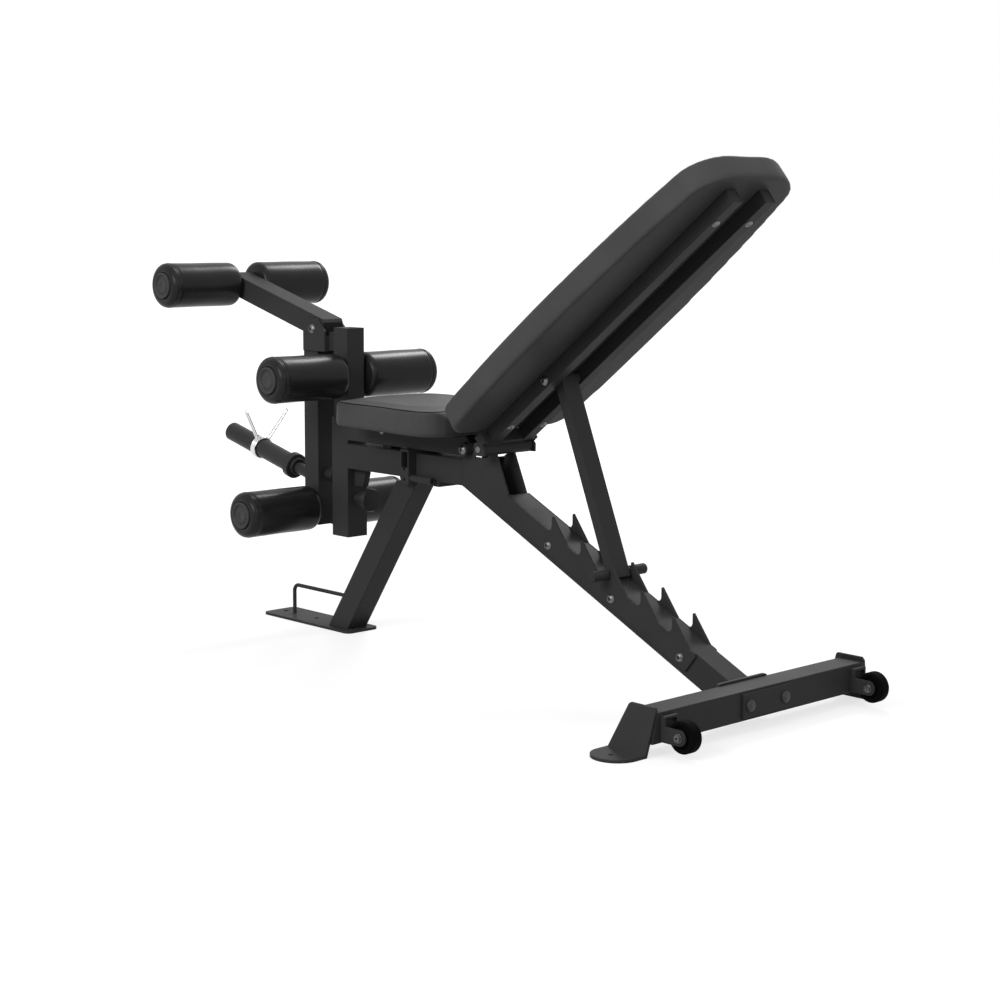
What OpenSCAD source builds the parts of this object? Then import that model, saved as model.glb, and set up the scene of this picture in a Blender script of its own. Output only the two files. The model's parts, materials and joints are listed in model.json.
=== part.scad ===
// Adjustable weight bench with a leg developer.
// Millimetres, +Z up, floor at z = 0, the user faces -Y, the transport wheels are at +Y.

/* [Tubing] */
// Outside width of the square frame tube
tube_w = 50; // [44:1:56]
// Wall of the frame tube
tube_t = 3; // [2:0.5:4]

/* [Rear base] */
// Length of the crossbar along its lower edge
base_len = 564; // [520:2:640]
// Height of the crossbar underside above the floor
base_z = 22; // [14:1:40]
// Y of the crossbar centre line
base_y = 700; // [660:5:760]
// Width of the top of the foot plates along Y
foot_w = 58; // [52:1:80]
// Thickness of the steel foot plates
foot_t = 5; // [3:0.5:8]
// Height of the foot plates above the floor
foot_h = 80; // [76:1:100]
// Lean of the foot plates from the vertical
foot_lean = 13; // [8:0.5:20]
// Width of the foot plates at the floor, which is also the width of the round tab
foot_low = 84; // [76:1:100]
// Straight part of the floor tab before its round end
foot_tab = 26; // [10:1:40]
// Distance of the tab's middle line ahead of the crossbar's centre line
foot_off = 23; // [0:1:26]
// Radius of a transport wheel
wheel_r = 27; // [20:0.5:30]
// Width of a transport wheel
wheel_w = 22; // [16:1:28]
// Half distance between the wheels
wheel_x = 248; // [200:1:252]
// Distance of the wheel axle behind the crossbar
wheel_back = 39; // [34:1:50]
// Height of the wheel axle
wheel_z = 37; // [33:0.5:45]
// Radius of the wheel bolt
wheel_bolt_r = 4; // [3:0.25:6]

/* [Spine] */
// Height of the spine's underside where it meets its flange
spine_z0 = 16; // [10:0.5:20]
// Y where the underside of the spine leaves the main tube
elbow_y = 0; // [-20:1:20]
// Underside of the horizontal main tube
main_z = 338; // [300:1:380]
// Y of the front end of the main tube
main_y0 = -133; // [-150:1:-110]
// Half width of the bolting flange at the foot of the spine
flange_x = 65; // [58:1:90]
// Thickness of that flange
flange_t = 6; // [4:0.5:10]
// Distance of the two base bolts from the middle
base_bolt_x = 46; // [38:1:50]
// Distance along the spine of the seam between the neck and the spine tube
neck_s = 116; // [105:1:130]

/* [Ladder] */
// Number of hooked teeth
teeth = 5; // [3:1:6]
// Pitch of the teeth along the spine
tooth_p = 81.6; // [70:0.2:84]
// Distance of the first notch from the elbow along the spine
tooth_s0 = 234.4; // [225:0.2:250]
// Thickness of a ladder plate
ladder_t = 4; // [3:0.5:6]
// Radius of the rest bar that drops into the notches
bar_r = 8; // [6:0.5:10]
// Half length of the rest bar
bar_x = 68; // [45:1:80]
// Radius of the grips at the ends of the rest bar
grip_r = 9.6; // [8.5:0.1:12]

/* [Backrest] */
// Y of the backrest hinge
hinge_y = 89; // [84:0.5:94]
// Z of the backrest hinge
hinge_z = 418; // [414:0.5:424]
// Rest angle of the backrest above the horizontal
back_ang = 37.8; // [35:0.1:40]
// Length of the backrest pad
pad_len = 754; // [650:2:800]
// Distance of the pad's lower end from the hinge
pad_s0 = 20; // [18:1:30]
// Widest half width of the backrest pad
pad_x = 160; // [120:1:170]
// Half width of the pad near its head
head_x = 120; // [100:1:140]
// Thickness of the pads
pad_t = 48; // [36:1:60]
// Rounding of the edges where the two pads face each other
edge_c = 12; // [0:1:16]
// Width and depth of a pad rail
rail_w = 25; // [20:1:30]
// Distance of each rail from the middle
rail_x = 42; // [38:0.5:60]
// Length of the rails
rail_len = 716; // [600:2:760]
// Half width of the hinge tube
hinge_x = 62; // [56:1:80]
// Outer radius of the hinge tubes
hinge_r = 13; // [11:0.5:15]
// Radius of the hinge bolts
bolt_r = 6; // [4:0.5:7]

/* [Strut] */
// Width of the strut tube
strut_w = 40; // [30:1:44]
// Depth of the strut tube
strut_d = 20; // [16:1:24]
// Distance of the strut pivot from the hinge along the rails
strut_s = 210; // [200:1:220]

/* [Seat] */
// Y of the seat front edge
seat_y0 = -276; // [-290:1:-240]
// Y of the seat rear edge
seat_y1 = 38.5; // [20:0.5:42]
// Half width of the seat at its rear
seat_x1 = 140; // [110:1:160]
// Half width of the seat at its front
seat_x0 = 128; // [100:1:150]
// Height of the seat underside
seat_z = 437; // [430:1:450]
// Y of the seat pivot
seat_py = 18; // [10:0.5:30]
// Z of the seat pivot
seat_pz = 409.5; // [407:0.5:414]
// Y of the front end of the seat rails
seat_rail_y0 = -338; // [-340:1:-290]
// Thickness of a seat rail
seat_rail_t = 4.7; // [3:0.1:6]
// Height of a seat rail
seat_rail_h = 40.5; // [30:0.5:41]
// Half width over the bushes of the seat pivot
seat_bush_x = 42; // [36:0.5:50]

/* [Front leg] */
// Slope of the front leg above the horizontal
leg_ang = 56.3; // [50:0.1:65]
// Y of the leg's front edge at the floor plate
leg_y = -411; // [-430:1:-390]
// Front end of the floor plate
plate_y0 = -612; // [-640:1:-580]
// Rear end of the floor plate
plate_y1 = -326; // [-345:1:-300]
// Half width of the floor plate
plate_x = 42; // [34:1:60]
// Radius of the foot handle rod
handle_r = 4; // [3:0.25:6]
// Height of the foot handle
handle_z = 67; // [55:1:90]
// Y of the upright of the foot handle
handle_y = -555; // [-580:1:-500]

/* [Leg developer] */
// Y of the centre line of the telescoping post
post_y = -368.5; // [-380:0.5:-360]
// Underside of the outer post
post_z0 = 196; // [170:1:240]
// Top of the outer post
post_z1 = 440; // [420:1:455]
// Width of the inner post
inner_w = 43.4; // [38:0.1:43.6]
// Bottom of the inner post
inner_z0 = 214; // [205:1:240]
// Top of the inner post
inner_z1 = 621; // [606:1:630]
// Height of the middle roller axle
mid_z = 524; // [515:1:535]
// Z of the lever pivot
lever_pz = 616; // [606:1:622]
// Y of the lever pivot
lever_py = -451; // [-455:0.5:-448]
// Depth of the lever tube
lever_d = 45; // [40:1:50]
// Y of the lever tube's rear face
lever_y1 = -439; // [-440:0.5:-436]
// Underside of the lever tube
lever_z0 = 211; // [180:1:225]
// Height of the bottom roller axle
low_z = 246; // [240:1:270]
// Depth of the upper arm
arm_d = 43; // [36:1:46]
// Slope of the upper arm
arm_ang = 15.6; // [12:0.1:20]
// Length of the upper arm from the lever pivot to its front end
arm_len = 305.5; // [240:0.5:320]
// Distance of the top roller axle from the arm's front end
arm_hole = 14; // [13:0.5:30]

/* [Rollers] */
// Radius of a foam roller
roll_r = 46; // [36:1:52]
// Length of a foam roller
roll_len = 177; // [140:1:200]
// Inner end of a roller from the middle
roll_x = 29; // [28:0.5:40]
// Radius of the roller axles
axle_r = 12.5; // [8:0.5:14]
// Rounding of the foam shoulders
roll_round = 13; // [8:1:16]

/* [Weight sleeve] */
// Radius of the weight sleeve
sleeve_r = 20; // [14:0.5:26]
// Length of the weight sleeve with its stub
sleeve_len = 297; // [240:1:320]
// Radius of the stub between the lever and the flange
stub_r = 12; // [8:0.5:16]
// Length of that stub
stub_len = 62; // [40:1:80]
// Radius of the flange that stops the plates
stop_r = 27; // [24:0.5:34]
// Thickness of the flange
stop_t = 18; // [8:1:24]
// Distance of the spring collar along the sleeve
collar_s = 183; // [120:1:220]
// Slope of the weight sleeve
sleeve_ang = 14; // [5:0.5:25]
// Height of the sleeve's root on the lever
sleeve_z = 306; // [290:1:330]

/* [Bolts] */
// Radius of the frame's bolts
fix_r = 4.9; // [4:0.1:5.5]
// Radius of their domed heads
fix_head = 8.5; // [7:0.25:10]
// Height of their domed heads
fix_dome = 5; // [3:0.25:6]
// Radius of the bolts that hold the pads
pad_bolt_r = 3.95; // [3:0.05:5]
// Radius of the heads of the pad bolts
pad_bolt_head = 7.5; // [6:0.25:9]
// Height of the heads of the pad bolts
pad_bolt_dome = 4; // [2.5:0.25:5]

/* [Clearances] */
// Running clearance of bolts and axles, on the radius
run_c = 0.05; // [0.03:0.01:0.1]
// Gap between pieces that seat on each other
seat_c = 0.3; // [0.2:0.05:0.5]

/* [Hidden] */
$fn = 64;

half = tube_w / 2;
steel = [0.09, 0.09, 0.10];
rubber = [0.05, 0.05, 0.05];
foam = [0.07, 0.07, 0.075];
vinyl = [0.10, 0.10, 0.105];
chrome = [0.75, 0.76, 0.78];

// slope of the spine below the horizontal, from its two ends
spine_run = base_y - tube_w / 2 - flange_t - elbow_y;
spine_ang = atan2(main_z - spine_z0, spine_run);
// unit vectors along the spine (down and back) and square to it
sd = [cos(spine_ang), -sin(spine_ang)];
sn = [sin(spine_ang), cos(spine_ang)];
elbow = [elbow_y, main_z];
main_top = main_z + tube_w;
base_y0 = base_y - half;
base_y1 = base_y + half;
spine_s1 = (base_y0 - flange_t - tube_w * sn[0] - elbow_y) / sd[0];

// a point of the spine frame: s along the underside, n square to it
function sp(s, n) = elbow + s * sd + n * sn;
function notch(k) = sp(tooth_s0 + k * tooth_p, tube_w + bar_r + seat_c);
// moves the whole object so that the origin is the middle of its footprint
module centred() { translate([0, -y_mid, 0]) children(); }

// extrudes a profile drawn in the YZ plane from x0 to x1
module slab(x0, x1) { translate([x0, 0, 0]) rotate([90, 0, 90]) linear_extrude(x1 - x0) children(); }
// cylinder along X
module xcyl(y, z, r, x0, x1) { translate([x0, y, z]) rotate([0, 90, 0]) cylinder(r = r, h = x1 - x0); }
// mirrors its children to the other side as well
module both() { children(); mirror([1, 0, 0]) children(); }
// domed bolt head along +Z
module dome(r, h) {
  rotate_extrude() difference() {
    intersection() {
      translate([0, -(r * r - h * h) / (2 * h)]) circle(r = (r * r + h * h) / (2 * h));
      square([r, h]);
    }
    translate([-1, h - 1.2]) square([1 + r * 0.36, 2]);
  }
}
module xdome(x, y, z, r, h) { translate([x, y, z]) rotate([0, x < 0 ? -90 : 90, 0]) dome(r, h); }
// rectangle with two or four rounded corners
module rrect(w, d, r) {
  translate([r, 0]) square([w - 2 * r, d]);
  translate([0, r]) square([w, d - 2 * r]);
  for (x = [r, w - r], y = [r, d - r]) translate([x, y]) circle(r = r);
}
// hollow profile in the YZ plane
module ring2(w, d, t) { difference() { square([w, d]); translate([t, t]) square([w - 2 * t, d - 2 * t]); } }

/* ---------- rear base ---------- */
foot_bz = foot_t;
foot_x0 = base_len / 2;
foot_dx = (foot_h - foot_bz) * tan(foot_lean);
foot_px = foot_t / cos(foot_lean);
function foot_in(z) = foot_x0 - (z - base_z) * tan(foot_lean);

module crossbar() {
  color(steel) difference() {
    translate([0, base_y1, 0]) rotate([90, 0, 0]) linear_extrude(tube_w)
      polygon([[-foot_in(base_z), base_z], [foot_in(base_z), base_z],
               [foot_in(base_z + tube_w), base_z + tube_w], [-foot_in(base_z + tube_w), base_z + tube_w]]);
    translate([-foot_x0 - 1, base_y0 + tube_t, base_z + tube_t])
      cube([2 * foot_x0 + 2, tube_w - 2 * tube_t, tube_w - 2 * tube_t]);
    for (x = [-base_bolt_x, base_bolt_x]) translate([x, base_y0 - 1, base_z + half])
      rotate([-90, 0, 0]) cylinder(r = 5, h = tube_w + 2);
  }
}

// leaning plate, wider at the floor, with a round tab that turns out along it
foot_y = base_y - foot_off;
module foot_plate() {
  difference() {
    union() {
      intersection() {
        translate([0, base_y + 100, 0]) rotate([90, 0, 0]) linear_extrude(200)
          polygon([[foot_in(foot_h), foot_h], [foot_in(foot_h) + foot_px, foot_h],
                   [foot_in(foot_t) + foot_px, foot_t], [foot_in(0) + foot_px, 0], [foot_in(0), 0]]);
        slab(foot_x0 - 60, foot_x0 + 60) polygon([[foot_y - foot_low / 2, 0], [foot_y + foot_low / 2, 0],
          [base_y + foot_w / 2 - 4, foot_h - 6], [base_y + foot_w / 2 - 8, foot_h],
          [base_y - foot_w / 2 - 2, foot_h], [base_y - foot_w / 2 - 5, foot_h - 3]]);
      }
      translate([foot_in(0) + 0.5, foot_y - foot_low / 2, 0]) cube([foot_tab, foot_low, foot_t]);
      intersection() {
        translate([foot_in(0) + 0.5 + foot_tab, foot_y, 0]) cylinder(r = foot_low / 2, h = foot_t);
        translate([foot_in(0) + 1, foot_y - foot_low, -1]) cube([2 * foot_low, 2 * foot_low, foot_t + 2]);
      }
    }
    translate([foot_in(0) + foot_tab + 12, foot_y, -1]) cylinder(r = 4, h = foot_t + 2);
  }
}
module foot_plate_l() { color(steel) foot_plate(); }
module foot_plate_r() { color(steel) mirror([1, 0, 0]) foot_plate(); }

fork_gap = wheel_w / 2 + 1.2;
fork_t = 4;
wheel_y = base_y1 + wheel_back;
fork_top = base_z + tube_w - 6;
module fork() {
  difference() {
    union() {
      for (s = [-1, 1]) slab(wheel_x + s * (fork_gap + fork_t / 2) - fork_t / 2,
                             wheel_x + s * (fork_gap + fork_t / 2) + fork_t / 2)
        union() {
          translate([base_y1, wheel_z - 13]) square([wheel_back, 26]);
          translate([wheel_y, wheel_z]) circle(r = 13);
          translate([base_y1, wheel_z]) square([wheel_back - wheel_r - 2, fork_top - wheel_z]);
        }
      translate([wheel_x - fork_gap - fork_t, base_y1, fork_top - fork_t])
        cube([2 * (fork_gap + fork_t), wheel_back - wheel_r - 2, fork_t]);
      translate([wheel_x - fork_gap - fork_t, base_y1, wheel_z - 13])
        cube([2 * (fork_gap + fork_t), fork_t, fork_top - wheel_z + 13]);
    }
    xcyl(wheel_y, wheel_z, wheel_bolt_r + run_c, wheel_x - 40, wheel_x + 40);
  }
}
module wheel_fork_l() { color(steel) fork(); }
module wheel_fork_r() { color(steel) mirror([1, 0, 0]) fork(); }

// bolt, washer under the head and nut of one wheel
module wheel_axle() {
  o = fork_gap + fork_t;
  color(chrome) {
    xcyl(wheel_y, wheel_z, wheel_bolt_r, wheel_x - o - 5, wheel_x + o + 1);
    for (x = [wheel_x + o, wheel_x - o - 1.5]) xcyl(wheel_y, wheel_z, wheel_bolt_r * 1.9, x, x + 1.5);
    difference() {
      xcyl(wheel_y, wheel_z, wheel_bolt_r * 1.5, wheel_x + o + 1.5, wheel_x + o + 5.5);
      translate([wheel_x + o + 2.5, wheel_y, wheel_z]) rotate([0, 90, 0]) cylinder(r = wheel_bolt_r * 0.75, h = 8, $fn = 6);
    }
    translate([wheel_x - o - 5, wheel_y, wheel_z]) rotate([0, 90, 0]) cylinder(r = wheel_bolt_r * 1.7, h = 3.5, $fn = 6);
  }
}
module wheel_axle_l() wheel_axle();
module wheel_axle_r() mirror([1, 0, 0]) wheel_axle();

module wheel() {
  translate([wheel_x, wheel_y, wheel_z]) rotate([0, 90, 0]) rotate_extrude() difference() {
    union() {
      translate([wheel_bolt_r + run_c, -wheel_w / 2]) square([wheel_r - 4 - wheel_bolt_r - run_c, wheel_w]);
      translate([wheel_r - 5, -wheel_w / 2 + 4]) square([5, wheel_w - 8]);
      for (s = [-1, 1]) translate([wheel_r - 4, s * (wheel_w / 2 - 4)]) circle(r = 4);
    }
    for (s = [-1, 1]) translate([wheel_bolt_r + 6, s * wheel_w / 2 - 2.5]) square([wheel_r - wheel_bolt_r - 14, 5]);
  }
}
module wheel_l() { color(rubber) wheel(); }
module wheel_r() { color(rubber) mirror([1, 0, 0]) wheel(); }

// backing plate and two domed bolts that hold the spine's flange
module base_bolts() {
  color(steel) difference() {
    translate([-flange_x + 1.5, base_y1, base_z + 4]) cube([2 * flange_x - 3, 4, tube_w - 8]);
    for (x = [-base_bolt_x, base_bolt_x]) translate([x, base_y1 - 1, base_z + half]) rotate([-90, 0, 0]) cylinder(r = 5, h = 6);
  }
  color(chrome) for (x = [-base_bolt_x, base_bolt_x]) translate([x, 0, base_z + half]) {
    translate([0, base_y1 + 4, 0]) rotate([-90, 0, 0]) dome(fix_head, fix_dome);
    translate([0, base_y0 - flange_t - 8, 0]) rotate([-90, 0, 0]) cylinder(r = fix_r, h = tube_w + flange_t + 12);
    translate([0, base_y0 - flange_t - 6, 0]) rotate([-90, 0, 0]) cylinder(r = fix_head, h = 6, $fn = 6);
  }
}

/* ---------- spine and ladder ---------- */
tooth_run = (teeth - 1) * tooth_p;
bolt_s = [for (f = [0.045, 0.584, 1.14]) tooth_s0 + f * tooth_run];
module spine() {
  color(steel) {
    difference() {
      slab(-half, half) polygon([sp(neck_s, 0), sp(neck_s, tube_w),
        [base_y0 - flange_t + 1, spine_z0 + tube_w / cos(spine_ang) - tan(spine_ang)],
        [base_y0 - flange_t + 1, spine_z0 - tan(spine_ang)]]);
      slab(-half + tube_t, half - tube_t) polygon([sp(0, tube_t), sp(0, tube_w - tube_t),
        sp(900, tube_w - tube_t), sp(900, tube_t)]);
      for (s = bolt_s) xcyl(sp(s, half)[0], sp(s, half)[1], fix_r + 2 * run_c, -half - 1, half + 1);
    }
    difference() {
      translate([0, base_y0, 0]) rotate([90, 0, 0]) linear_extrude(flange_t)
        translate([-flange_x, base_z - 8]) rrect(2 * flange_x, tube_w + 12, 8);
      for (x = [-base_bolt_x, base_bolt_x]) translate([x, base_y0 - flange_t - 1, base_z + half])
        rotate([-90, 0, 0]) cylinder(r = 5, h = flange_t + 2);
    }
  }
}

// plate with hooked teeth: each has an upright front face that runs down into a round
// notch on the spine's top line, and a long straight back
hook_r = bar_r + seat_c;
tip_h = 17.5;
tip_r = 2;
tooth_len = 57.5;
ladder_s1 = tooth_s0 + tooth_run + tooth_len + 18;
function tooth(k) = let(b = notch(k), a0 = -90 - spine_ang) concat(
  [for (i = [0 : 10]) b + hook_r * [cos(a0 * (1 - i / 10)), sin(a0 * (1 - i / 10))]],
  [for (i = [0 : 4]) b + [hook_r + tip_r - tip_r * cos(45 * i), tip_h - tip_r + tip_r * sin(45 * i)]],
  [sp(tooth_s0 + k * tooth_p + tooth_len, tube_w)]);
module ladder2() {
  difference() {
    polygon(concat([sp(neck_s + 1, tube_w - 40), sp(neck_s + 1, tube_w)],
      [for (k = [0 : teeth - 1]) for (q = tooth(k)) q],
      [sp(ladder_s1 - 4, tube_w), sp(ladder_s1, tube_w - 4), sp(ladder_s1 - 8, tube_w - 40)]));
    for (s = bolt_s) translate(sp(s, half)) circle(r = fix_r + 2 * run_c);
  }
}
module ladder_l() { color(steel) slab(half, half + ladder_t) ladder2(); }
module ladder_r() { color(steel) slab(-half - ladder_t, -half) ladder2(); }
module ladder_bolts() {
  color(chrome) for (s = bolt_s) let(p = sp(s, half)) {
    xcyl(p[0], p[1], fix_r, -half - ladder_t, half + ladder_t);
    both() xdome(half + ladder_t, p[0], p[1], fix_head, fix_dome);
  }
}

/* ---------- neck, main tube, front leg ---------- */
neck_run = hinge_y - elbow_y;
neck_pts = [[elbow_y, main_z], [elbow_y, main_top], [elbow_y + 0.38 * neck_run, main_top + 4],
  [elbow_y + 0.74 * neck_run, main_top + 9], [hinge_y + 1, hinge_z - 4], sp(neck_s, tube_w), sp(neck_s, 0)];
module neck() {
  color(steel) difference() {
    union() {
      both() slab(half - 4, half) {
        polygon(neck_pts);
        // ears that carry the seat pivot
        translate([seat_py, seat_pz]) circle(r = hinge_r);
        polygon([[seat_py - hinge_r, main_top - 1], [seat_py + hinge_r + 6, main_top - 1],
                 [seat_py + hinge_r, seat_pz], [seat_py - hinge_r, seat_pz]]);
      }
      // cross walls between the side plates, open at the rear
      slab(-half + 4, half - 4) polygon([neck_pts[0], neck_pts[6], neck_pts[6] + [0, 5], neck_pts[0] + [0, 4]]);
      slab(-half + 4, half - 4) polygon([neck_pts[1], neck_pts[2], neck_pts[3],
        neck_pts[3] - [0, 4], neck_pts[2] - [0, 4], neck_pts[1] - [0, 4]]);
      xcyl(hinge_y, hinge_z, hinge_r, -hinge_x, hinge_x);
      xcyl(seat_py, seat_pz, hinge_r, -half, half);
    }
    xcyl(hinge_y, hinge_z, bolt_r + run_c, -hinge_x - 1, hinge_x + 1);
    xcyl(seat_py, seat_pz, bolt_r + run_c, -half - 1, half + 1);
  }
}

module main_tube() {
  color(steel) {
    translate([-half, main_y0, main_z]) rotate([-90, 0, 0]) translate([0, -tube_w, 0])
      linear_extrude(elbow_y - main_y0) ring2(tube_w, tube_w, tube_t);
    // small stop block under the tube, behind the leg
    translate([-half + 1, main_y0 + tube_w, main_z - 10]) cube([tube_w - 2, 16, 10]);
  }
}

leg_h = tube_w / sin(leg_ang);
coup_y0 = main_y0 - 24;
coup_z0 = main_z - 10;
coup_z1 = main_top + 8;
coup_x = 45;
module leg_side(y0, y1, z1) {
  // parallelogram between the floor plate and z1
  polygon([[y0 + (foot_t) / tan(leg_ang), foot_t], [y1 + foot_t / tan(leg_ang), foot_t],
           [y1 + z1 / tan(leg_ang), z1], [y0 + z1 / tan(leg_ang), z1]]);
}
module front_leg() {
  color(steel) intersection() {
    difference() {
      slab(-half, half) leg_side(leg_y, leg_y + leg_h, main_z);
      slab(-half + tube_t, half - tube_t)
        leg_side(leg_y + tube_t / sin(leg_ang), leg_y + leg_h - tube_t / sin(leg_ang), main_z + 1);
    }
    union() {
      translate([-half - 1, leg_y - 5, 0]) cube([tube_w + 2, elbow_y - leg_y, coup_z0]);
      translate([-half - 1, main_y0, 0]) cube([tube_w + 2, 200, main_z]);
    }
  }
}
module front_plate() {
  color(steel) difference() {
    translate([-plate_x, plate_y0, 0]) linear_extrude(foot_t) rrect(2 * plate_x, plate_y1 - plate_y0, 14);
    translate([0, -481, -1]) cylinder(r = 5.5, h = foot_t + 2);
    translate([0, plate_y0 + 26, -1]) cylinder(r = 5.5, h = foot_t + 2);
  }
}
// bent rod from the floor plate to the leg's front face
bend_r = 14;
leg_at = leg_y + handle_z / tan(leg_ang);
module foot_handle() {
  color(steel) difference() {
    union() {
      translate([0, handle_y, foot_t]) cylinder(r = handle_r, h = handle_z - bend_r - foot_t, $fn = 24);
      translate([0, handle_y + bend_r, handle_z - bend_r]) rotate([90, 0, 90]) rotate([0, 0, 90])
        rotate_extrude(angle = 90, $fn = 48) translate([bend_r, 0]) circle(r = handle_r, $fn = 24);
      translate([0, handle_y + bend_r, handle_z]) rotate([-90, 0, 0])
        cylinder(r = handle_r, h = leg_at - handle_y - bend_r + 6, $fn = 24);
    }
    slab(-10, 10) leg_side(leg_y, leg_y + leg_h, main_z);
  }
}

// bolted box bracket that joins the main tube and the developer
module coupler() {
  color(steel) difference() {
    translate([-coup_x, coup_y0, coup_z0]) cube([2 * coup_x, main_y0 - coup_y0, coup_z1 - coup_z0]);
    translate([-half + tube_t, coup_y0 - 1, main_z + tube_t]) cube([tube_w - 2 * tube_t, 60, tube_w - 2 * tube_t]);
    // open windows in the sides
    both() translate([half + 2, coup_y0 + 3, main_z + 22]) cube([30, main_y0 - coup_y0 - 6, coup_z1 - main_z - 27]);
    for (z = [coup_z0 + 9, coup_z0 + 29]) xcyl(coup_y0 + 11, z, 2.8, -coup_x - 1, coup_x + 1);
    both() translate([half + 12, coup_y0 - 1, coup_z0 + 12]) rotate([-90, 0, 0]) cylinder(r = 4.5, h = 60);
  }
}
// two pins that lock the developer to the frame
module lock_pins() {
  color(steel) both() translate([half + 12, main_y0, coup_z0 + 12]) rotate([-90, 0, 0]) {
    difference() { cylinder(r = 6.8, h = 61); translate([0, 0, 55]) cylinder(r = 4.6, h = 7); }
    translate([0, 0, coup_y0 - main_y0 - 6]) cylinder(r = 4.45, h = main_y0 - coup_y0 + 6);
  }
}

/* ---------- leg developer ---------- */
post_y0 = post_y - half;
post_y1 = post_y + half;
pin_z = 275;
module dev_tube() {
  color(steel) difference() {
    union() {
      translate([-half, post_y0, post_z0]) linear_extrude(post_z1 - post_z0) difference() {
        square([tube_w, tube_w]);
        translate([(tube_w - inner_w) / 2 - seat_c, (tube_w - inner_w) / 2 - seat_c])
          square([inner_w + 2 * seat_c, inner_w + 2 * seat_c]);
      }
      translate([-half, post_y1, main_z]) rotate([-90, 0, 0]) translate([0, -tube_w, 0])
        linear_extrude(coup_y0 - post_y1) ring2(tube_w, tube_w, tube_t);
      slab(-7, 7) polygon([[post_y1, main_z], [post_y1 + 34, main_z], [post_y1 + 34, main_z - 10],
                           [post_y1 + 26, main_z - 37], [post_y1, main_z - 37]]);
      translate([0, post_y1, pin_z]) rotate([-90, 0, 0]) cylinder(r = 9, h = 9);
    }
    translate([0, post_y1 - 10, pin_z]) rotate([-90, 0, 0]) cylinder(r = 5 + run_c, h = 20);
    translate([0, post_y0 - 1, 316]) rotate([-90, 0, 0]) cylinder(r = 4, h = 8);
  }
}
// the plunger's tip stands just clear of the inner post, so the post can be slid
pin_in = (tube_w - inner_w) / 2 - seat_c;
module pop_pin() {
  color(rubber) translate([0, post_y1, pin_z]) rotate([-90, 0, 0]) {
    translate([0, 0, -pin_in]) cylinder(r = 5, h = 30 + pin_in);
    rotate_extrude() polygon([[0, 13], [13, 13], [17, 16], [23.5, 38], [24, 42], [22, 46], [0, 47]]);
  }
}
module bumper() {
  color(rubber) translate([0, post_y0, 316]) rotate([90, 0, 0]) {
    translate([0, 0, -3]) cylinder(r = 3.95, h = 5);
    rotate_extrude() polygon([[0, 0], [9, 0], [9, 18], [13, 18], [13, post_y0 - lever_y1 - 4],
                              [10, post_y0 - lever_y1 - seat_c], [0, post_y0 - lever_y1 - seat_c]]);
  }
}

ear_x = half + 0.6;
ear_t = 4.4;
ear_y0 = lever_py - 29;
ear_y1 = lever_py + 41.5;
inner_y0 = post_y - inner_w / 2;
module inner_post() {
  color(steel) difference() {
    union() {
      translate([-inner_w / 2, inner_y0, inner_z0]) linear_extrude(inner_z1 - inner_z0) ring2(inner_w, inner_w, tube_t);
      translate([-inner_w / 2, inner_y0, inner_z1 - 3]) cube([inner_w, inner_w, 3]);
      // bracket that carries the lever: two ears, a web and a spacer
      both() slab(ear_x, ear_x + ear_t) polygon([[ear_y0, lever_pz - 45], [ear_y1, lever_pz - 45],
        [ear_y1, lever_pz - 3], [ear_y1 - 26, lever_pz + 22], [ear_y0 + 9, lever_pz + 22], [ear_y0, lever_pz + 13]]);
      translate([-ear_x, ear_y1 - 4, lever_pz - 45]) cube([2 * ear_x, 4, 32]);
      translate([-18, ear_y1, lever_pz - 43]) cube([36, inner_y0 - ear_y1, 38]);
    }
    xcyl(lever_py, lever_pz, bolt_r + run_c, -60, 60);
    xcyl(post_y, mid_z, axle_r, -60, 60);
    for (k = [0 : 3]) translate([0, post_y, pin_z - 36 + 36 * k]) rotate([-90, 0, 0]) cylinder(r = 5.3, h = 40);
  }
}
module axle(y, z, x) { xcyl(y, z, axle_r, -x, x); }
axle_end = roll_x + roll_len - 6;
module mid_axle() { color(steel) axle(post_y, mid_z, axle_end); }
module lever_pivot() {
  color(chrome) {
    xcyl(lever_py, lever_pz, bolt_r, -ear_x - ear_t, ear_x + ear_t);
    both() xdome(ear_x + ear_t, lever_py, lever_pz, 10, 5.5);
  }
}

// lever and upper arm: two tubes welded in an L, with a bush at the pivot
lever_y0 = lever_y1 - lever_d;
lever_cy = (lever_y0 + lever_y1) / 2;
arm_v = [-cos(arm_ang), sin(arm_ang)];
arm_n = [sin(arm_ang), cos(arm_ang)];
arm_lo = lever_pz - 16;
function ap(s, n) = [lever_py, arm_lo] + s * arm_v + n * arm_n;
top_c = ap(arm_len - arm_hole, arm_d / 2);
module lever() {
  color(steel) difference() {
    union() {
      difference() {
        slab(-half, half) polygon([[lever_y0, lever_z0], [lever_y1, lever_z0], [lever_y1, lever_pz - 20],
          ap(-18, 4), ap(-24, arm_d - 6), ap(-18, arm_d), ap(arm_len, arm_d), ap(arm_len, 0), ap((lever_py - lever_y0) / cos(arm_ang), 0)]);
        slab(-half + tube_t, half - tube_t) polygon([[lever_y0 + tube_t, lever_z0 - 1], [lever_y1 - tube_t, lever_z0 - 1],
          [lever_y1 - tube_t, lever_pz - 24], [lever_y0 + tube_t, lever_pz - 24]]);
        slab(-half + tube_t, half - tube_t) polygon([ap(44, tube_t), ap(44, arm_d - tube_t),
          ap(arm_len + 1, arm_d - tube_t), ap(arm_len + 1, tube_t)]);
      }
    }
    xcyl(lever_py, lever_pz, bolt_r + run_c, -60, 60);
    xcyl(lever_cy, low_z, axle_r, -60, 60);
    xcyl(top_c[0], top_c[1], axle_r, -60, 60);
  }
}
module low_axle() { color(steel) axle(lever_cy, low_z, axle_end); }
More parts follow.
